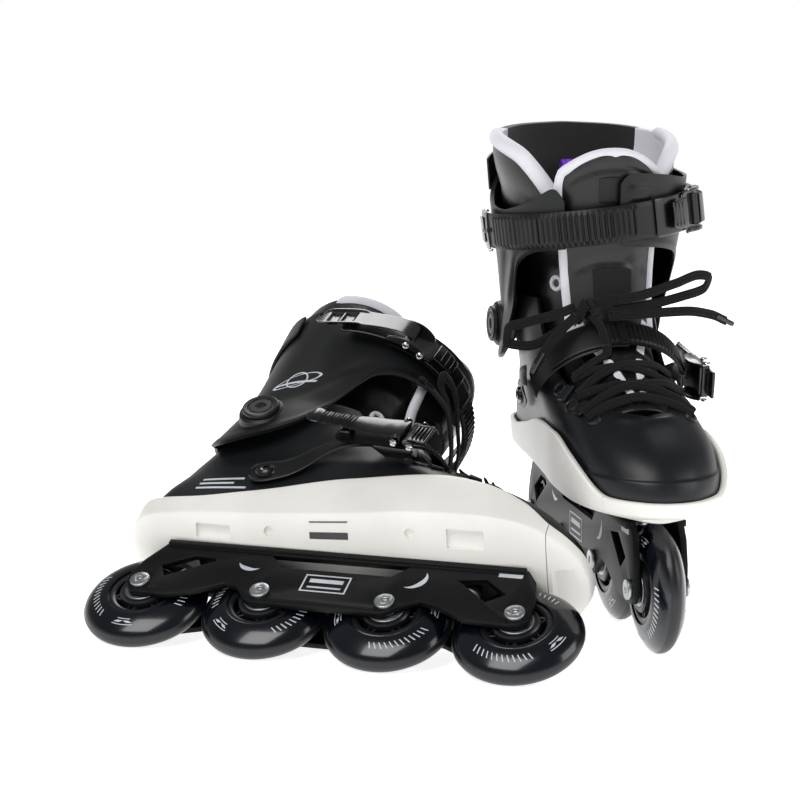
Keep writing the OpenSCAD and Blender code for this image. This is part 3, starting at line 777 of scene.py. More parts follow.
def base_point(u, w):
    a = 360 * u
    row = BASE_PROFILE[int(round(w * (len(BASE_PROFILE) - 1)))]
    rim = RIM(BASE_FORM.raw(a, 40).x)
    if row[0] == "mid":
        x = BASE_FORM.raw(a, row[1]).x
        return Vector((min(max(x, -110), 108) if row[1] == 0 else min(max(x * 0.95, -140), 140), 0,
                       BASE_Z + row[1]))
    if row[0] == "low":
        return BASE_FORM.raw(a, row[1])
    if row[0] == "up":
        return BASE_FORM.raw(a, SOLE_H + (rim - 1 - SOLE_H) * row[1])
    if row[0] == "rim":
        p = inset_from(BASE_FORM.raw(a, rim), row[1])
        return Vector((p.x, p.y, BASE_Z + rim - row[2]))
    return inset_from(BASE_FORM.raw(a, SOLE_H + (rim - SOLE_H) * row[1] if row[0] == "in" else SOLE_H
                                    + 0.05), BASE_WALL)


base = grid("base", len(BASE_PROFILE) - 1, 128, base_point)
in_edit(base, merge, face_out)
subdivide(base)


def cut_with(o, cutters):
    for c in cutters:
        modify(o, "BOOLEAN", operation="DIFFERENCE", object=c, solver="EXACT")
        bpy.data.objects.remove(c)


def flank_at(x):
    """At x: the underside's half width as a share of the widest, and its flank's slope in degrees."""
    wide = FOOT(math.degrees(math.acos(x / BASE_HALF_LONG)))
    return wide, math.degrees(math.atan2(10, 29 * wide))


# Pockets and dimples in the sloping flanks, and the channel for the frame at the toe
pockets = []
for sign in (1, -1):
    for x in (-89, 80.5):
        wide, flank = flank_at(x)
        pocket = block("pocket", (24, 5.6, 13 * wide), (0, 0, 0), 0.8,
                       turn=rotate(sign * flank, "X")
                       @ rotate(90, "X"))
        pocket.data.transform(move((x, sign * 33.5 * wide, BASE_Z + 4.4)))
        pockets.append(pocket)
    for x in (-50, 45):
        wide, flank = flank_at(x)
        dimple = lathe("dimple", [(0.01, 3), (3.4, 3), (3.4, 0.2), (2.6, -1.4), (0.01, -1.8)], steps=20)
        dimple.data.transform(move((x, sign * 35.5 * wide, BASE_Z + 5.1))
                              @ rotate(sign * flank, "X") @ rotate(90, "X")
                              @ Matrix.Scale(-1, 4, (0, 1, 0)))
        in_edit(dimple, face_out)
        pockets.append(dimple)
pockets.append(block("channel", (60, 30, 12), (163, 0, BASE_Z + 1), 1.5))
cut_with(base, pockets)
smooth(base, 38)
SEAM = 130.0
for name, keep, node in (("base_tray", "back", "soul_plate"), ("base_toe_cap", "front", "toe_cap")):
    half = copy_of(base)
    at = SEAM if keep == "back" else SEAM + 0.5
    in_edit(half, lambda: bpy.ops.mesh.bisect(plane_co=(at, 0, 0), plane_no=(1, 0, 0), use_fill=True,
                                              clear_outer=keep == "back", clear_inner=keep == "front"))
    smooth(half, 38)
    put(paint(half, BASE), name, "boot", "base_white", (node,))
bpy.data.objects.remove(base)

# ---- Cuff ----
CUFF_FORM = Form([
    [69, -140, 5, 52.5, 52.5, 1], [99, -131, 6, 54, 54, 1], [112, -128, 7.5, 53.7, 53.7, 1],
    [125, -125, 13, 55.5, 55.5, 1], [151, -122, 22, 59.5, 59.5, 1], [181, -121.5, 25, 64, 64, 1],
    [221, -122, 25, 68, 68, 1]])
CUFF_LOW = Curve([[0, 160], [24, 159], [50, 155], [66, 145], [74, 112], [84, 90], [98, 78], [118, 73],
                  [140, 82], [160, 98], [180, 104], [200, 98], [220, 82], [242, 73], [262, 78], [276, 90],
                  [286, 112], [294, 145], [310, 155], [330, 158]])
CUFF_HIGH = Curve([[0, 205], [12, 207], [30, 206], [60, 203], [90, 205], [130, 215], [180, 221], [200, 220],
                   [220, 211], [240, 195], [262, 183], [280, 181], [300, 185], [316, 193], [324, 197],
                   [330, 189]])


def cuff_lift(a, h):
    """Welt along the lower edge, pressed pad on the outer flap, folded facet on the inner side."""
    low = CUFF_LOW(min(max(a, 0), 330))
    lift = 0.9 * bell(h, low + 3.0, 2.4)
    lift += 1.3 * (ease(a, 7, 9) - ease(a, 19, 21)) * (ease(h, 189.5, 191) - ease(h, 198, 199.5))
    lift -= 2.0 * bell(a, 262 + (h - 110) * 0.42, 4.5) * ease(h, 96, 112) * (1 - ease(h, 150, 166))
    lift += 1.2 * bell(a, 276 + (h - 110) * 0.36, 3.5) * ease(h, 110, 125) * (1 - ease(h, 150, 166))
    lift -= 0.8 * bell(a, 98 - (h - 110) * 0.5, 5) * ease(h, 112, 124) * (1 - ease(h, 146, 160))
    return lift


def cuff_point(u, w):
    a = 2 + 328 * u
    low, high = CUFF_LOW(a), CUFF_HIGH(a)
    corner = 1 - ease(u, 0, 0.018)
    high -= 5 * corner ** 2
    low += 3 * corner ** 2
    h = low + (high - low) * w
    return CUFF_FORM.at(a, h, cuff_lift(a, h))


cuff = grid("cuff", 34, 150, cuff_point)
turned_out(cuff, IN_LEG)
thicken(cuff, SHELL_WALL, 0.8)
bosses = []
for sign in (1, -1):
    boss = lathe("boss", [(6.4, 0), (6.4, 6.0), (13.4, 6.0), (15.2, 4.6), (16.4, 0)])
    bosses.append(on_flank(boss, sign, PIVOT[0], 48.1, PIVOT[2]))
cuff = joined("cuff", [cuff] + bosses)
put(paint(cuff, CUFF), "cuff_piece", "cuff", "shell_plastic", ("cuff",))

discs = []
for sign in (1, -1):
    disc = lathe("disc", [(0.01, 0), (0.01, 1.6), (3.4, 1.6), (3.9, 2.2), (7.4, 2.2), (7.8, 1.7),
                          (8.6, 1.7), (9.0, 2.3),
                          (11.4, 2.6), (12.3, 2.0), (12.5, 0.4), (12.5, 0)])
    slot_cut = block("slot_cut", (2.0, 2.4, 7.0), (0, 2.4, 0), 0.3)
    slot_cut.data.transform(rotate(30, "Y"))
    cut_with(disc, [slot_cut])
    stem = lathe("stem", [(0.01, -14), (5.9, -14), (5.9, 0), (0.01, 0)], steps=36)
    disc = joined("disc", [disc, stem])
    discs.append(on_flank(disc, sign, PIVOT[0], 54.8, PIVOT[2]))
put(paint(joined("discs", discs), CUFF), "cuff_pivot_discs", "boot", "pivot_black", ("cuff_pivots",))


def spoiler_point(u, w):
    k = 2 * u - 1
    return CUFF_FORM.at(128 + 112 * u, 186 + (33 - 12 * k ** 4) * w + 6 * k ** 2, 2.8)


spoiler = turned_out(grid("spoiler", 12, 60, spoiler_point), IN_LEG)
thicken(spoiler, 2.4, 0.6)
put(paint(spoiler, CUFF), "spoiler", "cuff", "shell_plastic")

# ---- Liner: one padded boot that bends at the ankle ----
LINER_FORM = Form([
    [17.5, -143, 144, 40, 38, 0], [31, -143.5, 141, 40.5, 38.5, 0], [43, -142, 126, 41, 39, 0.1],
    [53, -138.5, 96, 40.3, 39, 0.25], [62, -135.5, 70, 39.8, 38.8, 0.45], [71, -133.5, 50, 39.3, 38.3, 0.6],
    [82, -129.5, 33, 39.8, 38.8, 0.75], [99, -120.5, 12, 38.5, 38.5, 0.97], [125, -113.5, -4, 38.5, 38.5, 1],
    [140, -113, -5, 40, 40, 1], [156, -113, 1, 48, 48, 1], [170, -113.5, 3, 51.5, 51.5, 1],
    [195, -115, 4, 56.3, 56.3, 1], [238, -117, 7, 63, 63, 1]])
LINER_TOP = Curve([[0, 180], [26, 182], [38, 192], [50, 208], [64, 220], [90, 228], [120, 233],
                   [150, 236.5], [180, 238]])
LINER_LOW, LINER_WALL = 18.5, 6.4
ANKLE_BEND = ((-60, 0, 166), (-60, 0, 196))


def liner_point(u, w):
    a = 360 * u
    top = LINER_TOP(abs((a + 180) % 360 - 180))
    h = LINER_LOW + (top - LINER_LOW) * (1 - (1 - w) ** 1.25)
    seam = -0.9 * bell(h, 196 + 6 * math.cos(math.radians(a)), 1.3) * (1 if 95 < a < 265 else 0)
    swell = 1.6 * math.sin(math.pi * min(max((top - h) / 30, 0), 1)) * ease(h, 150, 175)
    return LINER_FORM.at(a, h, swell + seam)


liner = grid("liner", 46, 96, liner_point)
in_edit(liner, merge)
turned_out(liner, (-20, 0, 150))
for m in (LEATHER, LINING, TRIM):
    liner.data.materials.append(m)
modify(liner, "SOLIDIFY", thickness=LINER_WALL, offset=-1, use_even_offset=True, material_offset=1,
       material_offset_rim=2)
bevel(liner, 2.4, 3, 50)
subdivide(liner)
smooth(liner)


# The shaft's middle and half sizes, for telling its inside from its outside
SHAFT_X, SHAFT_HALF_LONG, SHAFT_HALF_WIDE = -62, 54, 50


def liner_zone(p):
    """0 leather outside, 1 lining inside, 2 white trim at the front edges."""
    x, y, z = (p.center.x - SHAFT_X) / SHAFT_HALF_LONG, p.center.y / SHAFT_HALF_WIDE, p.center.z
    a = math.degrees(math.atan2(abs(y), x))
    outward = p.normal.x * x + p.normal.y * y
    if z < 200:
        return 0 if outward > 0 else 1
    if outward > 0.35:
        return 0
    return 2 if a < 118 and z > BASE_Z + LINER_TOP(a) - 70 else 1


picked = [liner_zone(p) for p in liner.data.polygons]
paint(liner, LEATHER, LINING, TRIM, pick=lambda p: picked[p.index])
put(liner, "liner_boot", "boot", "liner_black", ("liner", "liner_collar", "tongue"), across=ANKLE_BEND)
for side in SIDES:
    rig.padded(made[side + "_liner_boot"], fill=0.8)

# Footbed: felted foam with a raised edge
def footbed_point(u, w):
    p = LINER_FORM.raw(360 * u, 28)
    return Vector((-2 + (p.x + 2) * w, p.y * w, BASE_Z + 27 + 1.6 * w ** 6))


footbed = grid("footbed", 10, 72, footbed_point)
footbed.data.transform(move((-2, 0, 0)) @ Matrix.Diagonal((0.93, 0.76, 1, 1)) @ move((2, 0, 0)))
in_edit(footbed, merge)
turned_out(footbed, (0, 0, 0))
thicken(footbed, 3.0, 0.6)
put(paint(footbed, FELT), "footbed_piece", "boot", "footbed_foam", ("footbed",))

# ---- Tongue ----
TONGUE_LINE = [(90, 64.5), (80, 69.5), (68, 75.5), (56, 82), (43, 90.5), (31, 101), (22.5, 114),
               (17.5, 130), (16, 149),
               (17, 171), (18, 195), (20, 219)]
TONGUE_WALL = 6.0
steps = [0] + [math.dist(a, b) for a, b in zip(TONGUE_LINE, TONGUE_LINE[1:])]
TONGUE_X, TONGUE_H = (Curve([[s, p[k]] for s, p in zip(np.cumsum(steps) / sum(steps), TONGUE_LINE)])
                      for k in (0, 1))
TONGUE_HALF = Curve([[0, 17], [0.15, 23], [0.4, 25], [0.7, 29], [0.92, 33], [1, 30]])
TONGUE_FALL = Curve([[0, 5], [0.25, 8], [0.5, 10.5], [1, 12.5]])


def tongue_point(u, w, out=0.0):
    k = 2 * u - 1
    w = w * (1 - 0.085 * abs(k) ** 2.4)
    x, h = TONGUE_X(w), TONGUE_H(w)
    dx, dh = TONGUE_X(w + 0.01) - TONGUE_X(w - 0.01), TONGUE_H(w + 0.01) - TONGUE_H(w - 0.01)
    n = Vector((dh, 0, -dx)).normalized()
    off = out - TONGUE_FALL(w) * k * k
    return Vector((x, TONGUE_HALF(w) * k, BASE_Z + h)) + n * off


def tongue_swell(k, w):
    """Foam pushes the skin out between its stitched channels."""
    side = 1.8 * math.exp(-((abs(k) - 0.42) / 0.36) ** 2) * ease(w, 0.05, 0.2)
    channel = -1.0 * (bell(w, 0.64, 0.012) + bell(w, 0.955, 0.01)) * (abs(k) < 0.85)
    ribs = 0.5 * math.sin(w * 90) * (1 - ease(w, 0.4, 0.5)) * (1 - ease(abs(k), 0.7, 0.95))
    return side + channel + ribs


tongue = grid("tongue", 96, 30, lambda u, w: tongue_point(u, w, tongue_swell(2 * u - 1, w)))
turned_out(tongue, IN_LEG)
modify(tongue, "SOLIDIFY", thickness=TONGUE_WALL, offset=-1)
bevel(tongue, 2.2, 3, 50)
subdivide(tongue)
smooth(tongue)
backs = [1 if p.normal.x < -0.2 and p.center.z > 200 else 0 for p in tongue.data.polygons]
put(paint(tongue, LEATHER, LINING, pick=lambda p: backs[p.index]), "tongue_pad", "boot", "liner_black",
    across=ANKLE_BEND)
for side in SIDES:
    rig.padded(made[side + "_tongue_pad"], fill=0.8)


def along(points, count):
    """Evenly spaced points and directions on a smooth line through the given points."""
    pts = [Vector(p) for p in points]
    way = np.cumsum([0] + [(b - a).length for a, b in zip(pts, pts[1:])])
    curves = [Curve([[s, p[i]] for s, p in zip(way, pts)]) for i in range(3)]
    fine = [Vector([c(s) for c in curves]) for s in np.linspace(0, way[-1], 12 * count)]
    run = np.cumsum([0] + [(b - a).length for a, b in zip(fine, fine[1:])])
    spots = [Vector([float(np.interp(s, run, [p[i] for p in fine])) for i in range(3)])
             for s in np.linspace(0, run[-1], count)]
    ways = [(spots[min(i + 1, count - 1)] - spots[max(i - 1, 0)]).normalized() for i in range(count)]
    return spots, ways, float(run[-1])


def tube(name, points, half_w, half_t, facing, count=60, around=10, square=2.0, taper=0.0):
    """A flattened tube along a smooth line: half_w and half_t are half its width and thickness, and its flat
    side turns towards facing(point)."""
    spots, ways, length = along(points, count)
    sides = []
    for p, t in zip(spots, ways):
        n = Vector(facing(p)).normalized()
        n = (n - t * n.dot(t)).normalized()
        sides.append((t.cross(n), n))

    def where(u, w):
        i = int(round(w * (count - 1)))
        c, s = math.cos(2 * math.pi * u), math.sin(2 * math.pi * u)
        c, s = (math.copysign(abs(v) ** (2 / square), v) for v in (c, s))
        k = 1.0
        if taper:
            k = min(1, 0.15 + min(w, 1 - w) * length / taper)
        b, n = sides[i]
        return spots[i] + b * (half_w * c * k) + n * (half_t * s * k)

    o = grid(name, count - 1, around, where)
    for corner in o.data.uv_layers[0].data:
        corner.uv.y *= length / 100
    in_edit(o, merge)
    reach = max(half_w, half_t) * 1.3
    for end, way in ((spots[0], ways[0]), (spots[-1], ways[-1])):
        in_edit(o, bpy.ops.mesh.edge_face_add, pick=lambda mesh: [
            v for v in mesh.vertices if (v.co - end).length < reach and abs((v.co - end).dot(way)) < 0.05])
    in_edit(o, face_out)
    smooth(o, 60)
    return o, spots, length


def radial(p):
    """Away from the leg."""
    return (p[0] - LEG_X, p[1] * 1.1, 8)


edge_path = ([(0.0, w) for w in np.linspace(0.42, 0.93, 9)] + [(0.005, 0.965)]
             + [(u, 1.0) for u in (0.03, 0.08, 0.18, 0.3, 0.42, 0.5, 0.58, 0.7, 0.82, 0.92, 0.97)]
             + [(0.995, 0.965)] + [(1.0, w) for w in np.linspace(0.93, 0.42, 9)])
binding, _, _ = tube("binding", [tongue_point(u, w, -2.6) for u, w in edge_path], 3.9, 3.4,
                     lambda p: (p[0] - LEG_X, p[1] * 0.6, 10), 120, 14, taper=8)
put(paint(binding, TRIM), "tongue_binding", "boot", "liner_black", across=ANKLE_BEND)


def stripe(name, line, half, out):
    """A sewn strip on the tongue: line gives (u, w) along its middle, half its half width in u."""
    us, ws = (Curve([[i / (len(line) - 1), p[k]] for i, p in enumerate(line)]) for k in (0, 1))

    def where(u, w):
        k = 2 * u - 1
        return tongue_point(us(w) + half * k, ws(w), out - 0.5 * abs(k) ** 4)
    return thicken(turned_out(grid(name, 40, 6, where), IN_LEG), 1.0, 0.3)


stripes = [stripe("stripe", [(0.5 + s * k, w) for k, w in
                             ((0.085, 0.05), (0.12, 0.13), (0.19, 0.24), (0.27, 0.32), (0.34, 0.38),
                              (0.41, 0.43),
                              (0.46, 0.47))], 0.062, 1.7) for s in (1, -1)]
put(paint(joined("stripes", stripes), TRIM), "tongue_stripes", "boot", "liner_black", across=ANKLE_BEND)


def patch(name, u0, u1, w0, w1, out, thick, material):
    def where(u, w):
        return tongue_point(u0 + (u1 - u0) * u, w0 + (w1 - w0) * w, out)
    return paint(thicken(turned_out(grid(name, 16, 16, where), IN_LEG), thick, 0.35), material)


put(patch("mesh_patch", 0.26, 0.74, 0.5, 0.62, 2.1, 1.0, MESH), "tongue_mesh_patch", "boot", "liner_black",
    across=ANKLE_BEND)
put(patch("badge", 0.34, 0.66, 0.84, 0.925, 2.3, 1.4, STRAP), "tongue_badge", "cuff", "strap_black")

# Purple pull tab at the back of the collar's inside
tab, _, _ = tube("tab", [(-100, 4, 246), (-96, 4, 268), (-97, 4, 286), (-102, 4, 292), (-106.5, 4, 286),
                         (-107.5, 4, 268)],
                 7.5, 0.9, lambda p: (1, 0, 0.2), 40, 14, square=3.2)
put(paint(tab, TAB), "pull_tab", "cuff", "liner_black")

# White rings where the liner's own lace passes its front flaps
rings = []
for sign in (1, -1):
    spot = LINER_FORM.at(sign * 44, 133, 0.6)
    way = (LINER_FORM.at(sign * 44, 133, 3) - spot).normalized()
    ring = lathe("ring", [(2.6, -0.8), (2.6, 0.5), (3.1, 1.3), (4.1, 1.5), (5.2, 1.0), (5.6, -0.2),
                          (5.6, -0.8)],
                 steps=36)
    ring.data.transform(move(spot) @ way.to_track_quat("Y", "Z").to_matrix().to_4x4())
    rings.append(ring)
put(paint(joined("rings", rings), TRIM), "liner_rings", "boot", "liner_black", across=ANKLE_BEND)

# White piping over the collar's front edges
piping = []
for sign in (1, -1):
    route = [LINER_FORM.at(sign * 115, LINER_TOP(115) - 9, -3.4)] + [
        LINER_FORM.at(sign * a, LINER_TOP(a) - 2.2, -2.0) for a in (106, 99, 92, 82, 72, 62, 54, 46, 39, 33, 28)]
    piping.append(tube("piping", route, 5.4, 4.6, lambda p: (p[0] - LEG_X, p[1] * 0.9, 30), 90, 16,
                       taper=14)[0])
put(paint(joined("piping", piping), TRIM), "collar_piping", "boot", "liner_black", across=ANKLE_BEND)

# ---- Cuff strap, a toothed ladder strap, with its bracket and buckle ----
STRAP_H = 175.0
TILT = move((0, 0, BASE_Z + STRAP_H)) @ rotate(7, "X")


def on_strap(a, s, out):
    """Angle a round the cuff, s across the strap, out from the cuff."""
    p = CUFF_FORM.raw(a, 178)
    q = CUFF_FORM.raw(a + 1, 178) - CUFF_FORM.raw(a - 1, 178)
    n = Vector((q.y, -q.x, 0)).normalized()
    return TILT @ (Vector((p.x, p.y, s)) + n * out)


def saw(t, pitch_share=0.62):
    """One tooth: a slope up, a flat top and a steep back."""
    t %= 1.0
    return ease(t, 0.0, 0.16) * (1 - ease(t, pitch_share, pitch_share + 0.12))


TEETH = 30
STRAP_FROM, STRAP_SWEEP = -89, 156


def cuff_strap_point(u, w):
    a = STRAP_FROM + STRAP_SWEEP * u
    k = 2 * w - 1
    t = (a + 80) / 92 * TEETH
    tooth = 1.25 * saw(t) * (0 <= t <= TEETH) * (1 - ease(abs(k), 0.80, 0.86))
    edge = -0.7 * ease(abs(k), 0.93, 1.0)
    return on_strap(a, 11.8 * k, 3.0 + 1.9 + tooth + edge)


strap = turned_out(grid("strap", 14, TEETH * 8 + 60, cuff_strap_point), IN_LEG)
modify(strap, "SOLIDIFY", thickness=2.2, offset=-1)
bevel(strap, 0.35, 1, 60)
smooth(strap, 35)
put(paint(strap, STRAP), "cuff_strap_ladder", "cuff", "strap_black", ("cuff_strap",))


def band(name, a0, a1, half, out, t, edge=0.8, cols=36, shape=None, bulge=0.0):
    """A curved plate on the strap's path; shape(u) scales its half width."""
    def where(u, w):
        k = 2 * w - 1
        size = half * (shape(u) if shape else 1)
        return on_strap(a0 + (a1 - a0) * u, size * k, out + t + bulge * (1 - k * k))
    o = turned_out(grid(name, 10, cols, where), IN_LEG)
    return thicken(o, t, edge)


def round_ends(u, share=0.18, least=0.55):
    e = min(u, 1 - u) / share
    return 1 if e >= 1 else least + (1 - least) * math.sqrt(max(0, 1 - (1 - e) ** 2))


def strap_frame(a, s, out):
    p, q = on_strap(a, s, out), on_strap(a, s, out + 1)
    y = (q - p).normalized()
    x = (on_strap(a - 1, s, out) - on_strap(a + 1, s, out)).normalized()
    m = Matrix((x, y, x.cross(y))).transposed().to_4x4()
    m.translation = p
    return m


def rivet(at, r=2.3, high=1.3):
    o = lathe("rivet", [(0.01, high), (r * 0.42, high), (r * 0.5, high - 0.5), (r * 0.62, high - 0.4),
                        (r * 0.8, high),
                        (r, high * 0.45), (r * 1.02, -0.6), (0.01, -0.6)], steps=26)
    o.data.transform(at)
    return o


# Bracket on the inner side: a plate, a raised pad and a rib (two in the same place), riveted to the cuff
bracket = joined("bracket", [
    band("plate", -106, -87, 14.0, 3.0, 2.4, 0.9, shape=lambda u: 0.86 + 0.14 * ease(u, 0.2, 0.8), bulge=0.8),
    band("pad", -103, -92, 8.5, 5.6, 1.4, 0.7, 20),
] + [band("rib", -91.5, -84, 1.3, 3.2, 4.8, 0.7, 14) for _ in range(2)])
put(paint(bracket, BUCKLE), "cuff_strap_bracket", "cuff", "strap_black")
pins = []
for s in (1, -1):
    pins.append(rivet(strap_frame(-88, s * 13.2, 5.0) @ rotate(s * 90, "X"), 1.7, 0.9))
put(paint(joined("pins", pins), CHROME), "cuff_bracket_rivets", "cuff", "steel")

# Strap's smooth end cap on the outer side
cap = band("cap", 22, 46, 12.6, 5.2, 1.3, 0.6, 20, bulge=0.3)
put(paint(cap, BUCKLE), "cuff_strap_end_cap", "cuff", "strap_black")

# Buckle base: tray with side cheeks
GAP = 6.4
tray = band("tray", 43, 93, 13.6, GAP, 1.9, 0.7, 44, shape=lambda u: round_ends(u, 0.14, 0.7))
cheeks = []
for s in (1, -1):
    def cheek_point(u, w, s=s):
        rise = 5.4 * math.sin(math.pi * min(max(u, 0), 1)) ** 0.6
        return on_strap(47 + 22 * u, s * 13.1, GAP + 1.0 + (rise + 0.6) * w)
    c = grid("cheek", 6, 24, cheek_point)
    modify(c, "SOLIDIFY", thickness=1.9, offset=0)
    bevel(c, 0.4)
    in_edit(c, face_out)
    smooth(c, 40)
    cheeks.append(c)
put(paint(joined("tray", [tray] + cheeks), BUCKLE), "cuff_buckle_base", "cuff", "buckle_black",
    ("cuff_buckle",))
rivets = []
for a, high in ((58, 5.8 + GAP - 2.8), (49.5, GAP + 1.6)):
    for s in (1, -1):
        m = strap_frame(a, s * 13.9, high)
        m = m @ rotate(s * 90, "X")
        rivets.append(rivet(m, 2.5, 1.0))
put(paint(joined("rivets", rivets), CHROME), "cuff_buckle_rivets", "cuff", "steel")


# Lever: long curved handle with a sunk window and a bar near its tip
def lever_point(u, w):
    k = 2 * w - 1
    a = 57.0 + 49.5 * u
    half = 10.2 * (0.92 + 0.16 * ease(u, 0.35, 0.75))
    if u >= 0.86:
        half *= math.sqrt(max(0.05, 1 - ((u - 0.86) / 0.15) ** 2))
    lift = 2.6 + 4.2 + 1.6 * bell(u, 0.12, 0.12) - 1.2 * ease(u, 0.25, 0.5) + 1.0 * ease(u, 0.7, 1.0)
    rim = 0.9 * ease(abs(k), 0.72, 0.86) * ease(u, 0.5, 0.56)
    pit = -2.2 * (ease(u, 0.60, 0.63) * (1 - ease(u, 0.86, 0.89))) * (1 - ease(abs(k), 0.60, 0.68))
    bar = 2.0 * bell(u, 0.745, 0.02) * (1 - ease(abs(k), 0.60, 0.68))
    return on_strap(a, half * k, GAP + lift + rim + pit + bar)


lever = grid("lever", 30, 84, lever_point)
turned_out(lever, IN_LEG)
thicken(lever, 3.2, 0.6, 0)
hub = lathe("hub", [(1.7, -10.4), (3.3, -10.4), (3.6, -10), (3.6, 10), (3.3, 10.4), (1.7, 10.4)])
hub_m = strap_frame(58, 0, GAP + 3.0)
hub.data.transform(hub_m @ rotate(90, "X"))
put(paint(joined("lever", [lever, hub]), BUCKLE), "cuff_lever_handle", "cuff_lever", "buckle_black",
    ("cuff_lever",))

catch = band("catch", 31, 43.5, 9.8, GAP + 2.4, 2.2, 0.6, 18, shape=lambda u: 0.8 + 0.2 * ease(u, 0, 0.5),
             bulge=0.6)
grips = [band("grip", 32.5 + 3.0 * i, 33.7 + 3.0 * i, 7.4, GAP + 4.4, 0.9, 0.3, 6) for i in range(3)]
put(paint(joined("catch", [catch] + grips), BUCKLE), "cuff_catch", "cuff_release", "buckle_black",
    ("cuff_release",))

# ---- Instep strap ----
INSTEP = move((30, 0, BASE_Z + 101)) @ rotate(-52, "Y")


def on_instep(a, s, out):
    """Half loop over the instep: a from the inner side (-90) over the top (0) to the outer side (90)."""
    r = math.radians(a)
    return INSTEP @ Vector((-40 + (43 + out) * math.cos(r), (48 + out) * math.sin(r), s))


def instep_band(name, a0, a1, half, out, t, edge=0.6, cols=40, shape=None, bulge=0.0, teeth=0, rows=12):
    def where(u, w):
        k = 2 * w - 1
        size = half * (shape(u) if shape else 1)
        tooth = 1.1 * saw(u * teeth) * (1 - ease(abs(k), 0.8, 0.86)) if teeth else 0
        return on_instep(a0 + (a1 - a0) * u, size * k, out + t + bulge * (1 - k * k) + tooth)
    o = grid(name, rows, cols, where)
    turned_out(o, tuple(INSTEP @ Vector((-40, 0, 0))))
    if teeth:
        modify(o, "SOLIDIFY", thickness=t, offset=-1)
        bevel(o, 0.3, 1, 60)
        smooth(o, 35)
        return o
    return thicken(o, t, edge)


INSTEP_TEETH = 22
ladder = instep_band("ladder", -12, 71, 9.6, 1.4, 2.0, cols=INSTEP_TEETH * 8, teeth=INSTEP_TEETH, rows=14)
pad_shape = lambda u: 1.0 - 0.16 * ease(u, 0.72, 0.8) - 0.1 * (1 - ease(u, 0.0, 0.2))
wide_pad = instep_band("wide_pad", -92, 6, 12.6, 0.0, 1.6, 0.7, 60, pad_shape, 0.5)
step_pad = instep_band("step_pad", -60, -6, 10.6, 1.4, 1.9, 0.7, 40, lambda u: round_ends(u, 0.12, 0.75), 0.4)
loop = instep_band("loop", -0.5, 4.5, 10.9, 3.2, 1.7, 0.5, 10)
outer_pad = instep_band("outer_pad", 66, 92, 11.6, 0.0, 1.6, 0.6, 24)
ARM = [(-79, 50.5), (-70, 51.5), (-58, 53.5), (-45, 58.5), (-32, 65.5), (-20, 70.5), (-10, 73.0), (0, 74.5)]
ARM_HALF = Curve([[0, 3.5], [0.03, 7.5], [0.07, 9.6], [0.14, 10.2], [0.24, 9.0], [0.45, 7.2], [0.75, 6.2],
                  [0.95, 6.8],
                  [1, 7.2]])


# How far from the middle the arms end, at the strap
ARM_TOP_Y = 53.0


def on_side(form, x, h, out):
    """The point of the outer side that lies x forward and h up."""
    low, high = 0.0, 180.0
    for _ in range(24):
        a = (low + high) / 2
        if form.raw(a, h).x > x:
            low = a
        else:
            high = a
    return form.at(low, h, out)


def arm(sign):
    spots, ways, _ = along([(x, 0, BASE_Z + h) for x, h in ARM], 70)

    def where(u, w):
        i = int(round(u * 69))
        k = 2 * w - 1
        n = Vector((-ways[i].z, 0, ways[i].x))
        rim = 0.7 * bell(abs(k), 0.86, 0.1)
        p = spots[i] + n * (ARM_HALF(u) * k)
        hug = on_side(SHELL_FORM, p.x, p.z - BASE_Z, 3.4).y
        y = hug + (ARM_TOP_Y - hug) * ease(u, 0.3, 0.95) + rim - 0.5 * k * k
        return Vector((p.x, sign * y, p.z))
    o = grid("arm", 18, 69, where)
    turned_out(o, (-40, 0, 140))
    return thicken(o, 2.6, 0.6)


strap_parts = [ladder, wide_pad, step_pad, outer_pad, loop, arm(1), arm(-1)]
put(paint(joined("instep", strap_parts), STRAP), "instep_strap_piece", "boot", "strap_black",
    ("instep_strap",))

screws = []
for sign in (1, -1):
    screw = lathe("screw", [(0.01, 0.6), (1.6, 0.6), (1.9, 2.2), (3.6, 2.5), (4.6, 1.9), (4.9, 0.8),
                            (6.4, 0.8), (6.9, 0.2),
                            (6.9, -1.0), (0.01, -1.0)], steps=36)
    star = block("star", (2.6, 3, 2.6), (0, 2.0, 0), 0.3)
    cut_with(screw, [star])
    screws.append(on_flank(screw, sign, -67.5, on_side(SHELL_FORM, -67.5, 52, 3.6).y, BASE_Z + 52))
put(paint(joined("screws", screws), BUCKLE), "instep_arm_screws", "boot", "buckle_black")

# Instep buckle, on the outer side
BUCKLE_AT = move((4, 56.4, BASE_Z + 76)) @ rotate(8, "Y")


def at_buckle(o):
    o.data.transform(BUCKLE_AT)
    return o


def plate(name, outline, y0, y1, edge=0.5, curve=0.0):
    """A flat plate cut to an outline of (x, z), its wall from y0 to y1."""
    deselect()
    bpy.ops.mesh.primitive_circle_add(vertices=len(outline), radius=1, fill_type="NGON")
    o = bpy.context.object
    o.name = name
    for v, (x, z) in zip(o.data.vertices, outline):
        v.co = Vector((x, y0, z))
    grow = {"value": (0, y1 - y0, 0)}
    in_edit(o, lambda: bpy.ops.mesh.extrude_region_move(TRANSFORM_OT_translate=grow), face_out)
    bevel(o, edge)
    smooth(o, 35)
    return o


def rounded(x0, x1, z0, z1, r, n=5):
    pts = []
    for cx, cz, start in ((x1 - r, z1 - r, 0), (x0 + r, z1 - r, 90), (x0 + r, z0 + r, 180),
                          (x1 - r, z0 + r, 270)):
        for i in range(n + 1):
            t = math.radians(start + 90 * i / n)
            pts.append((cx + r * math.cos(t), cz + r * math.sin(t)))
    return pts


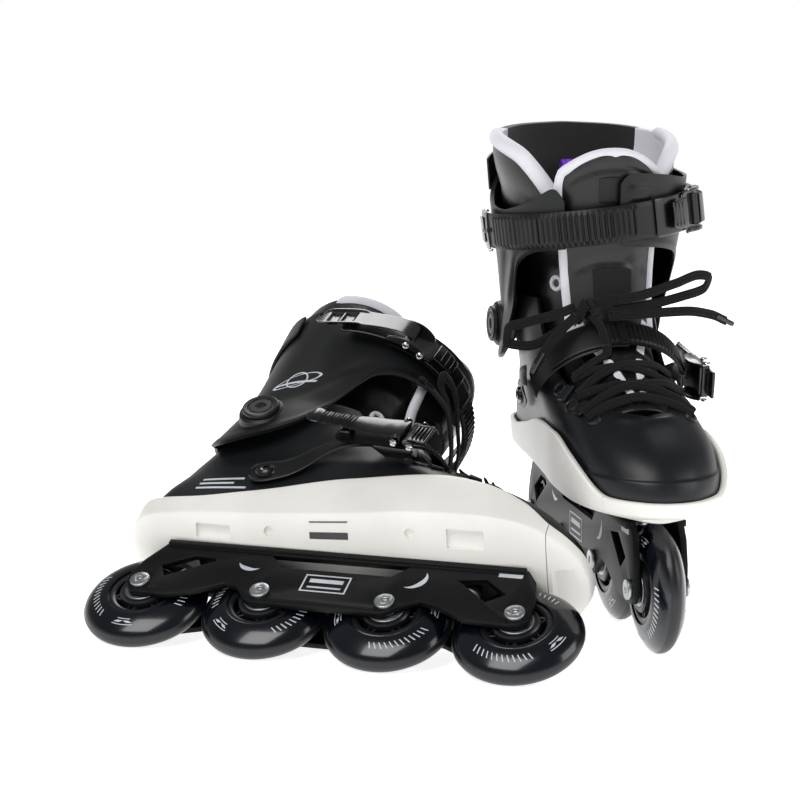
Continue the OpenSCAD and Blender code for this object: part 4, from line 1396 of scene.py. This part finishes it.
base_plate = plate("base_plate", rounded(-25.5, 27.5, -12.4, 12.4, 4.5), -1.0, 1.0, 0.5)
side_cheeks = []
for s in (1, -1):
    cheek = plate("cheek", [(2, 1.0), (6, 4.6), (14, 7.2), (22, 7.4), (27, 5.4), (31, 1.2), (28, -0.8),
                            (3, -0.8)], 0, 1.9, 0.4)
    cheek.data.transform(move((0, 0, s * 11.5 - 0.95)) @ rotate(90, "X"))
    side_cheeks.append(cheek)
guide = block("guide", (6, 5.2, 21), (26, 3.0, 0), 0.8, (1.0, 0.6))
hook = block("hook", (7, 3.0, 14), (-20, 2.0, 0), 0.7)
instep_buckle = at_buckle(joined("instep_buckle", [base_plate, guide, hook] + side_cheeks))
put(paint(instep_buckle, BUCKLE), "instep_buckle_base", "boot", "buckle_black", ("instep_buckle",))
dots = []
for x, y, s in ((18, 4.6, 1), (18, 4.6, -1), (29, 3.0, 1), (29, 3.0, -1)):
    m = move((x, y, s * 12.4)) @ rotate(s * 90, "X")
    dots.append(rivet(m, 2.4, 0.9))
put(paint(at_buckle(joined("dots", dots)), CHROME), "instep_buckle_rivets", "boot", "steel")


def instep_lever_point(u, w):
    """From the hinge back to the tip: a ribbed grip that narrows to a rounded end."""
    k = 2 * w - 1
    x = 21.5 - 70.5 * u
    half = 8.9 - 2.4 * ease(u, 0.35, 0.6) + 0.9 * bell(u, 0.93, 0.06)
    if u > 0.93:
        half *= math.sqrt(max(0.04, 1 - ((u - 0.93) / 0.075) ** 2))
    y = 7.6 + 0.8 * bell(u, 0.08, 0.1) + 1.0 * ease(u, 0.4, 0.7) + 0.9 * bell(u, 0.93, 0.05)
    wave = 0.5 - 0.5 * math.cos(2 * math.pi * (u - 0.5) / 0.0333)
    ribs = -0.85 * wave * ease(u, 0.5, 0.52) * (1 - ease(u, 0.86, 0.88))
    return Vector((x, y + ribs - 0.9 * k * k, half * k))


grip = grid("grip", 12, 132, instep_lever_point)
turned_out(grip, (0, -20, 0))
thicken(grip, 3.8, 0.6, 0)
lever_hub = lathe("lever_hub", [(1.7, -9.8), (3.0, -9.8), (3.3, -9.4), (3.3, 9.4), (3.0, 9.8), (1.7, 9.8)])
lever_hub.data.transform(move((18, 4.6, 0)) @ rotate(90, "X"))
put(paint(at_buckle(joined("instep_lever", [grip, lever_hub])), BUCKLE), "instep_lever_handle",
    "instep_lever",
    "buckle_black", ("instep_lever",))
tip = block("tip", (13.4, 2.3, 17.6), (32, 5, 0), 0.7, (1.6, 0.5))
notches = [block("notch", (1.0, 0.9, 12), (28.5 + 2.6 * i, 6.2, 0), 0.25) for i in range(4)]
put(paint(at_buckle(joined("tip", [tip] + notches)), BUCKLE), "instep_catch", "instep_release",
    "buckle_black",
    ("instep_release",))

# ---- Laces: flat, woven; the drawn rows cross the tongue, the bow's loops and ends are free ----
LACE_W, LACE_T = 6.2, 1.9
ROWS = [
    [(79, -36, 62), (76, -22, 71), (72, 0, 78), (66, 20, 77), (60, 33, 71)],
    [(60, -34, 71), (56, -20, 81), (52, 0, 88), (49, 18, 86.5), (46, 31, 79)],
    [(46, -33, 80), (45, -20, 88.5), (42, -10, 95), (36, -11, 106), (29, -17, 117)]]
UNDER_ROWS = [
    [(79, 36.5, 60), (76, 24, 69.5), (74, 8, 75.5), (71, -8, 77.5), (66, -22, 74.5), (60, -34.5, 69)],
    [(60, 35, 69.5), (58, 24, 77), (55.5, 8, 84), (52.5, -8, 86.5), (49, -22, 83.5), (46, -34, 77.5)],
    [(84, 34, 59), (83, 20, 67), (82.5, 0, 71.5), (83, -20, 67), (84, -34.5, 59)]]
BOW = {
    "bow_outer_loop": [(27, -24, 122), (33, -8, 126), (37, 14, 130), (37, 36, 137), (34, 53, 142),
                       (31, 61, 140),
                       (30, 58, 133), (34, 44, 129), (35, 22, 124), (32, -4, 120)],
    "bow_inner_loop": [(28, -28, 122), (30, -40, 118), (26, -58, 113), (20, -70, 108), (17, -70, 99),
                       (22, -58, 97),
                       (29, -42, 105), (30, -30, 114)],
    "outer_end": [(31, -6, 116), (36, 20, 118), (37, 44, 119), (32, 62, 116), (28, 74, 111)],
    "inner_end": [(29, -28, 116), (33, -40, 106), (35, -50, 94), (34, -54, 86)]}


def raised(route):
    return [(x, y, BASE_Z + h) for x, y, h in route]


def from_foot(p):
    """Away from the instep."""
    return (p[0] * 0.6 + 5, p[1] * 0.9, max(p[2] - 120, 10))


def lace(name, route, facing, count):
    return tube(name, raised(route), LACE_W / 2, LACE_T / 2, facing, count, 12, square=3.0)


def declare(name, spots, length, far_end, lay, fitting=None):
    """Says what a lace is on both skates; fitting is the piece at its far end."""
    for side in SIDES:
        path = [tuple(PLACE[side] @ p) for p in spots]
        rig.cord(made[side + "_" + name], exit=path[0], length=length / 1000, diameter=LACE_W / 1000,
                far_end=far_end, stiffness="limp", lay=lay, path=path,
                with_pieces=[made[side + "_" + fitting]] if fitting else [])


for i, route in enumerate(ROWS + UNDER_ROWS):
    name = "lace_row_%d" % (i + 1)
    o, spots, length = lace(name, route, from_foot, 48)
    put(paint(o, LACE), name, "boot", "lace_black", ("laces",) if i == 0 else ())
    declare(name, spots, length, "object", "taut")
for name, route in BOW.items():
    free = name.endswith("end")
    o, spots, length = lace(name, route, radial, 56 if free else 90)
    if free:
        way = (spots[-1] - spots[-4]).normalized()
        aglet = lathe("aglet", [(0.01, -9), (1.5, -9), (1.75, -8), (1.75, 5), (1.5, 6), (0.01, 6)], steps=20)
        aglet.data.transform(move(spots[-1]) @ way.to_track_quat("Y", "Z").to_matrix().to_4x4())
        put(paint(aglet, BUCKLE), name + "_aglet", "boot", "lace_black")
    put(paint(o, LACE), name, "boot", "lace_black")
    declare(name, spots, length, "fitting" if free else "object", "loose", name + "_aglet" if free else None)

# The knot: short turns of lace wound over each other
turns = []
for k, (dy, dz, lean) in enumerate(((-21, 121, 0.5), (-18.5, 119.5, -0.6), (-23.5, 119, 1.2))):
    ring = [(27.5 + 5.0 * math.cos(t) * (1 - 0.1 * k), dy + 4.6 * math.sin(t) * math.cos(lean),
             dz + 5.2 * math.sin(t) * math.sin(lean) + 3.2 * math.cos(t))
            for t in np.linspace(0.1, 2 * math.pi - 0.1, 14)]
    turns.append(tube("turn", raised(ring), LACE_W / 2, LACE_T / 2 + 0.2, lambda p: (1, 0.1, 0.4), 40, 12,
                      square=3.0)[0])
put(paint(joined("knot", turns), LACE), "lace_knot", "boot", "lace_black")

# ---- Wheels ----
TYRE_PROFILE = [(40, 0), (39.75, 1.6), (38.9, 3.3), (37.4, 5.0), (35.2, 6.7), (32.4, 8.2), (29.2, 9.4),
                (26.0, 10.3),
                (23.4, 10.8), (22.2, 10.6), (21.6, 9.6)]


def wheel_tyre():
    profile = TYRE_PROFILE + [(21.5, 0)] + [(r, -y) for r, y in reversed(TYRE_PROFILE[1:])]
    o = lathe("tyre", profile, steps=96)
    smooth(o, 50)
    return paint(o, TYRE, TREAD, pick=lambda p: 1 if math.hypot(p.center.x, p.center.z) > 38.3 else 0)


def wheel_core():
    parts = [
        lathe("rim", [(17.8, 9.0), (18.6, 9.6), (20.6, 9.9), (21.7, 9.4), (21.7, -9.4), (20.6, -9.9),
                      (18.6, -9.6),
                      (17.8, -9.0)], steps=72),
        lathe("hub", [(11.05, 11.3), (11.5, 11.7), (13.6, 11.7), (14.5, 10.8), (14.7, 9.0), (14.7, -9.0),
                      (14.5, -10.8),
                      (13.6, -11.7), (11.5, -11.7), (11.05, -11.3)], steps=60)]
    parts.append(lathe("web", [(14.2, 1.3), (18.2, 1.3), (18.2, -1.3), (14.2, -1.3)], steps=60))
    for i in range(6):
        for lean in (-1, 1):
            spoke = block("spoke", (5.4, 16.5, 1.7), (16.4, 0, lean * 1.6), 0.45,
                          turn=rotate(lean * 22, "Y"))
            spoke.data.transform(rotate(60 * i, "Y"))
            parts.append(spoke)
    return paint(joined("core", parts), CORE)


def tyre_y(r):
    return float(np.interp(r, *zip(*sorted(TYRE_PROFILE))))


def print_mark(a0, a1, r0, r1, cols=10, rows=2, slant=0.0):
    """A thin printed patch on the tyre's side, from angle a0 to a1 and radius r0 to r1."""
    def where(u, w):
        r = r0 + (r1 - r0) * w
        a = math.radians(a0 + (a1 - a0) * u + slant * w)
        return Vector((r * math.cos(a), tyre_y(r) + 0.1, r * math.sin(a)))
    return grid("mark", rows, cols, where)


def wheel_print():
    """A ring of thin slanted strokes, dots and arcs, with no letters."""
    marks = []
    for start in (196, 16):
        for i in range(12):
            a = start + i * 6.4
            marks.append(print_mark(a, a + 1.5, 27.6, 31.8, 3, 3, 3.2))
    for start in (112, 292):
        marks.append(print_mark(start, start + 26, 31.6, 32.1, 16))
        marks.append(print_mark(start + 4, start + 22, 27.6, 28.1, 12))
        for k in (0, 1):
            marks.append(print_mark(start + 13 - 7 * k, start + 20 - 7 * k, 29.2, 30.6, 8, 2, 5.0 - 10.0 * k))
    both = []
    for o in marks:
        both += [o, copy_of(o, rotate(180, "Z"))]
    for o in both:
        turned_out(o, (0, 0, 0))
        modify(o, "SOLIDIFY", thickness=0.08, offset=1)
    return paint(joined("print", both), INK)


parts = {"tyre": wheel_tyre(), "core": wheel_core(), "print": wheel_print()}
for i in range(1, 5):
    for part_name, o in parts.items():
        copy = copy_of(o, move(((i - 2.5) * AXLE_PITCH, 0, AXLE_H)) @ rotate(37 * i, "Y"))
        node = ("wheel_%d" % i,) if part_name == "tyre" else ()
        put(copy, "wheel_%d_%s" % (i, part_name), "wheel_%d" % i, "tyre_navy", node)
for o in parts.values():
    bpy.data.objects.remove(o)

# ---- Frame and its metal parts: the machined shapes with broken edges ----
softened("frame", "frame_rail", "boot", "frame_black", FRAME, 0.5)
softened("axles", "axle_bolts", "boot", "steel", STEEL, 0.35)
softened("frame_bolts", "mount_bolts", "boot", "steel", STEEL, 0.35)
softened("inner_rings", "bearing_inner_rings", "boot", "bearing_steel", BEARING, 0.25)
for i in range(1, 5):
    softened("bearings_%d" % i, "bearing_pair_%d" % i, "wheel_%d" % i, "bearing_steel", BEARING, 0.35)

# Marks on the frame's sides: two crescents and a plain framed panel, printed
FRAME_FACE = 17.02


def frame_mark(outline):
    marks = []
    for s in (1, -1):
        deselect()
        bpy.ops.mesh.primitive_circle_add(vertices=len(outline), radius=1, fill_type="NGON")
        o = bpy.context.object
        for v, (x, z) in zip(o.data.vertices, outline):
            v.co = Vector((x, s * FRAME_FACE, z))
        turned_out(o, (0, 0, 50))
        modify(o, "SOLIDIFY", thickness=0.12, offset=1)
        marks.append(o)
    return marks


def crescent(cx, cz, r, start, sweep, thick):
    n = 14
    outer = [(cx + r * math.cos(t), cz + r * math.sin(t)) for t in
             (math.radians(start + sweep * i / n) for i in range(n + 1))]
    inner = [(cx + (r - thick * math.sin(math.pi * i / n)) * math.cos(t),
              cz + (r - thick * math.sin(math.pi * i / n)) * math.sin(t)) for i, t in
             ((i, math.radians(start + sweep * i / n)) for i in range(n - 1, 0, -1))]
    return outer + inner


def bar(x0, x1, z0, z1):
    return [(x0, z0), (x1, z0), (x1, z1), (x0, z1)]


marks = frame_mark(crescent(-56, 67.5, 8.5, 190, 130, 3.4)) + frame_mark(crescent(51, 65, 9.5, 250, 150, 3.6))
for edge in (bar(-17, 13, 59.4, 60.4), bar(-17, 13, 44.6, 45.6), bar(-17, -16, 45.6, 59.4),
             bar(12, 13, 45.6, 59.4),
             bar(-13, 9, 53.2, 56.6), bar(-13, 9, 48.2, 49.6), bar(103, 118, 73.0, 76.2)):
    marks += frame_mark(edge)
put(paint(joined("marks", marks), INK), "frame_marks", "boot", "frame_black")


# Small printed marks on the shell, the cuff and the base: plain bars and a ring
def side_mark(form, x0, x1, h0, h1, lean=0.0, out=0.06, cols=8):
    def where(u, w):
        return on_side(form, x0 + (x1 - x0) * u + lean * w, h0 + (h1 - h0) * w, out)
    o = turned_out(grid("side_mark", 2, cols, where), IN_LEG)
    modify(o, "SOLIDIFY", thickness=0.1, offset=1)
    return o


bars = []
for h, x0, x1 in ((47, -112, -82), (42.5, -113, -88), (38, -114, -78)):
    bars.append(side_mark(SHELL_FORM, x0, x1, h, h + 1.8))
put(paint(joined("bars", bars), INK), "shell_print", "boot", "shell_plastic")


def ring_mark(form, x, h, long, tall, turn, line):
    r = math.radians(turn)

    def where(u, w):
        a, k = 2 * math.pi * u, 1 + (w - 0.5) * line
        dx, dh = long * k * math.cos(a), tall * k * math.sin(a)
        return on_side(form, x + dx * math.cos(r) - dh * math.sin(r),
                       h + dx * math.sin(r) + dh * math.cos(r), 0.12)
    o = turned_out(grid("ring_mark", 1, 48, where), IN_LEG)
    modify(o, "SOLIDIFY", thickness=0.1, offset=1)
    return o


sign_marks = [ring_mark(CUFF_FORM, -73, 134, 17, 5.0, 14, 0.12), ring_mark(CUFF_FORM, -73, 134, 7.5, 7.5, 0, 0.14),
              side_mark(CUFF_FORM, -90, -58, 130.5, 132.5, 0.8, 0.16, 14)]
put(paint(joined("sign_marks", sign_marks), INK), "cuff_print", "cuff", "shell_plastic")

plates = [side_mark(BASE_FORM, -22, 4, 3.0, 4.4, out=0.1), side_mark(BASE_FORM, -22, 4, 6.6, 6.9, out=0.1)]
put(paint(joined("plates", plates), BUCKLE), "base_print", "boot", "base_white")

# ---- Stage: a pale table that glows a little, and a studio brighter near the horizon than overhead ----
FLOOR_SIZE, FLOOR_GLOW = 80, 0.82
bpy.context.scene.view_settings.view_transform = "Standard"
deselect()
bpy.ops.mesh.primitive_plane_add(size=FLOOR_SIZE)
floor = bpy.context.object
floor.name = "floor"
floor_paint, _, floor_shader = new_material("floor_matt_white", "#f6f6f6", 0.9)
floor_shader.inputs["Emission Color"].default_value = (1, 1, 1, 1)
floor_shader.inputs["Emission Strength"].default_value = FLOOR_GLOW
paint(floor, floor_paint)
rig.stage(floor)
world = bpy.data.worlds.new("world")
bpy.context.scene.world = world
world.use_nodes = True
sky = world.node_tree
way = add_node(sky, "ShaderNodeTexCoord").outputs["Generated"]
up = add_node(sky, "ShaderNodeSeparateXYZ", i0=way).outputs[2]
fade = add_node(sky, "ShaderNodeMapRange", {}, i0=up)
sky.nodes["Background"].inputs["Color"].default_value = (1, 1, 1, 1)
for socket, value in (("From Min", 0.06), ("From Max", 0.35), ("To Min", 1.0), ("To Max", 0.16)):
    fade.inputs[socket].default_value = value
sky.links.new(fade.outputs[0], sky.nodes["Background"].inputs["Strength"])


def soft_light(name, at, target, size, power):
    lamp = bpy.data.lights.new(name, "AREA")
    lamp.size, lamp.energy = size, power
    o = bpy.data.objects.new(name, lamp)
    show(o)
    o.location = at
    o.rotation_euler = (Vector(target) - Vector(at)).to_track_quat("-Z", "Y").to_euler()


soft_light("key_light", (-1.1, -1.0, 1.9), (-0.1, 0, 0.15), 1.4, 30)
soft_light("fill_light", (1.5, -0.9, 1.0), (0, 0, 0.15), 1.1, 10)
soft_light("back_light", (0.3, 1.6, 1.6), (0, 0, 0.2), 1.2, 22)

visual_box = [list(corner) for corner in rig.bounds()]
json.dump({"cad": cad_box, "visual": visual_box}, open("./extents.json", "w"))
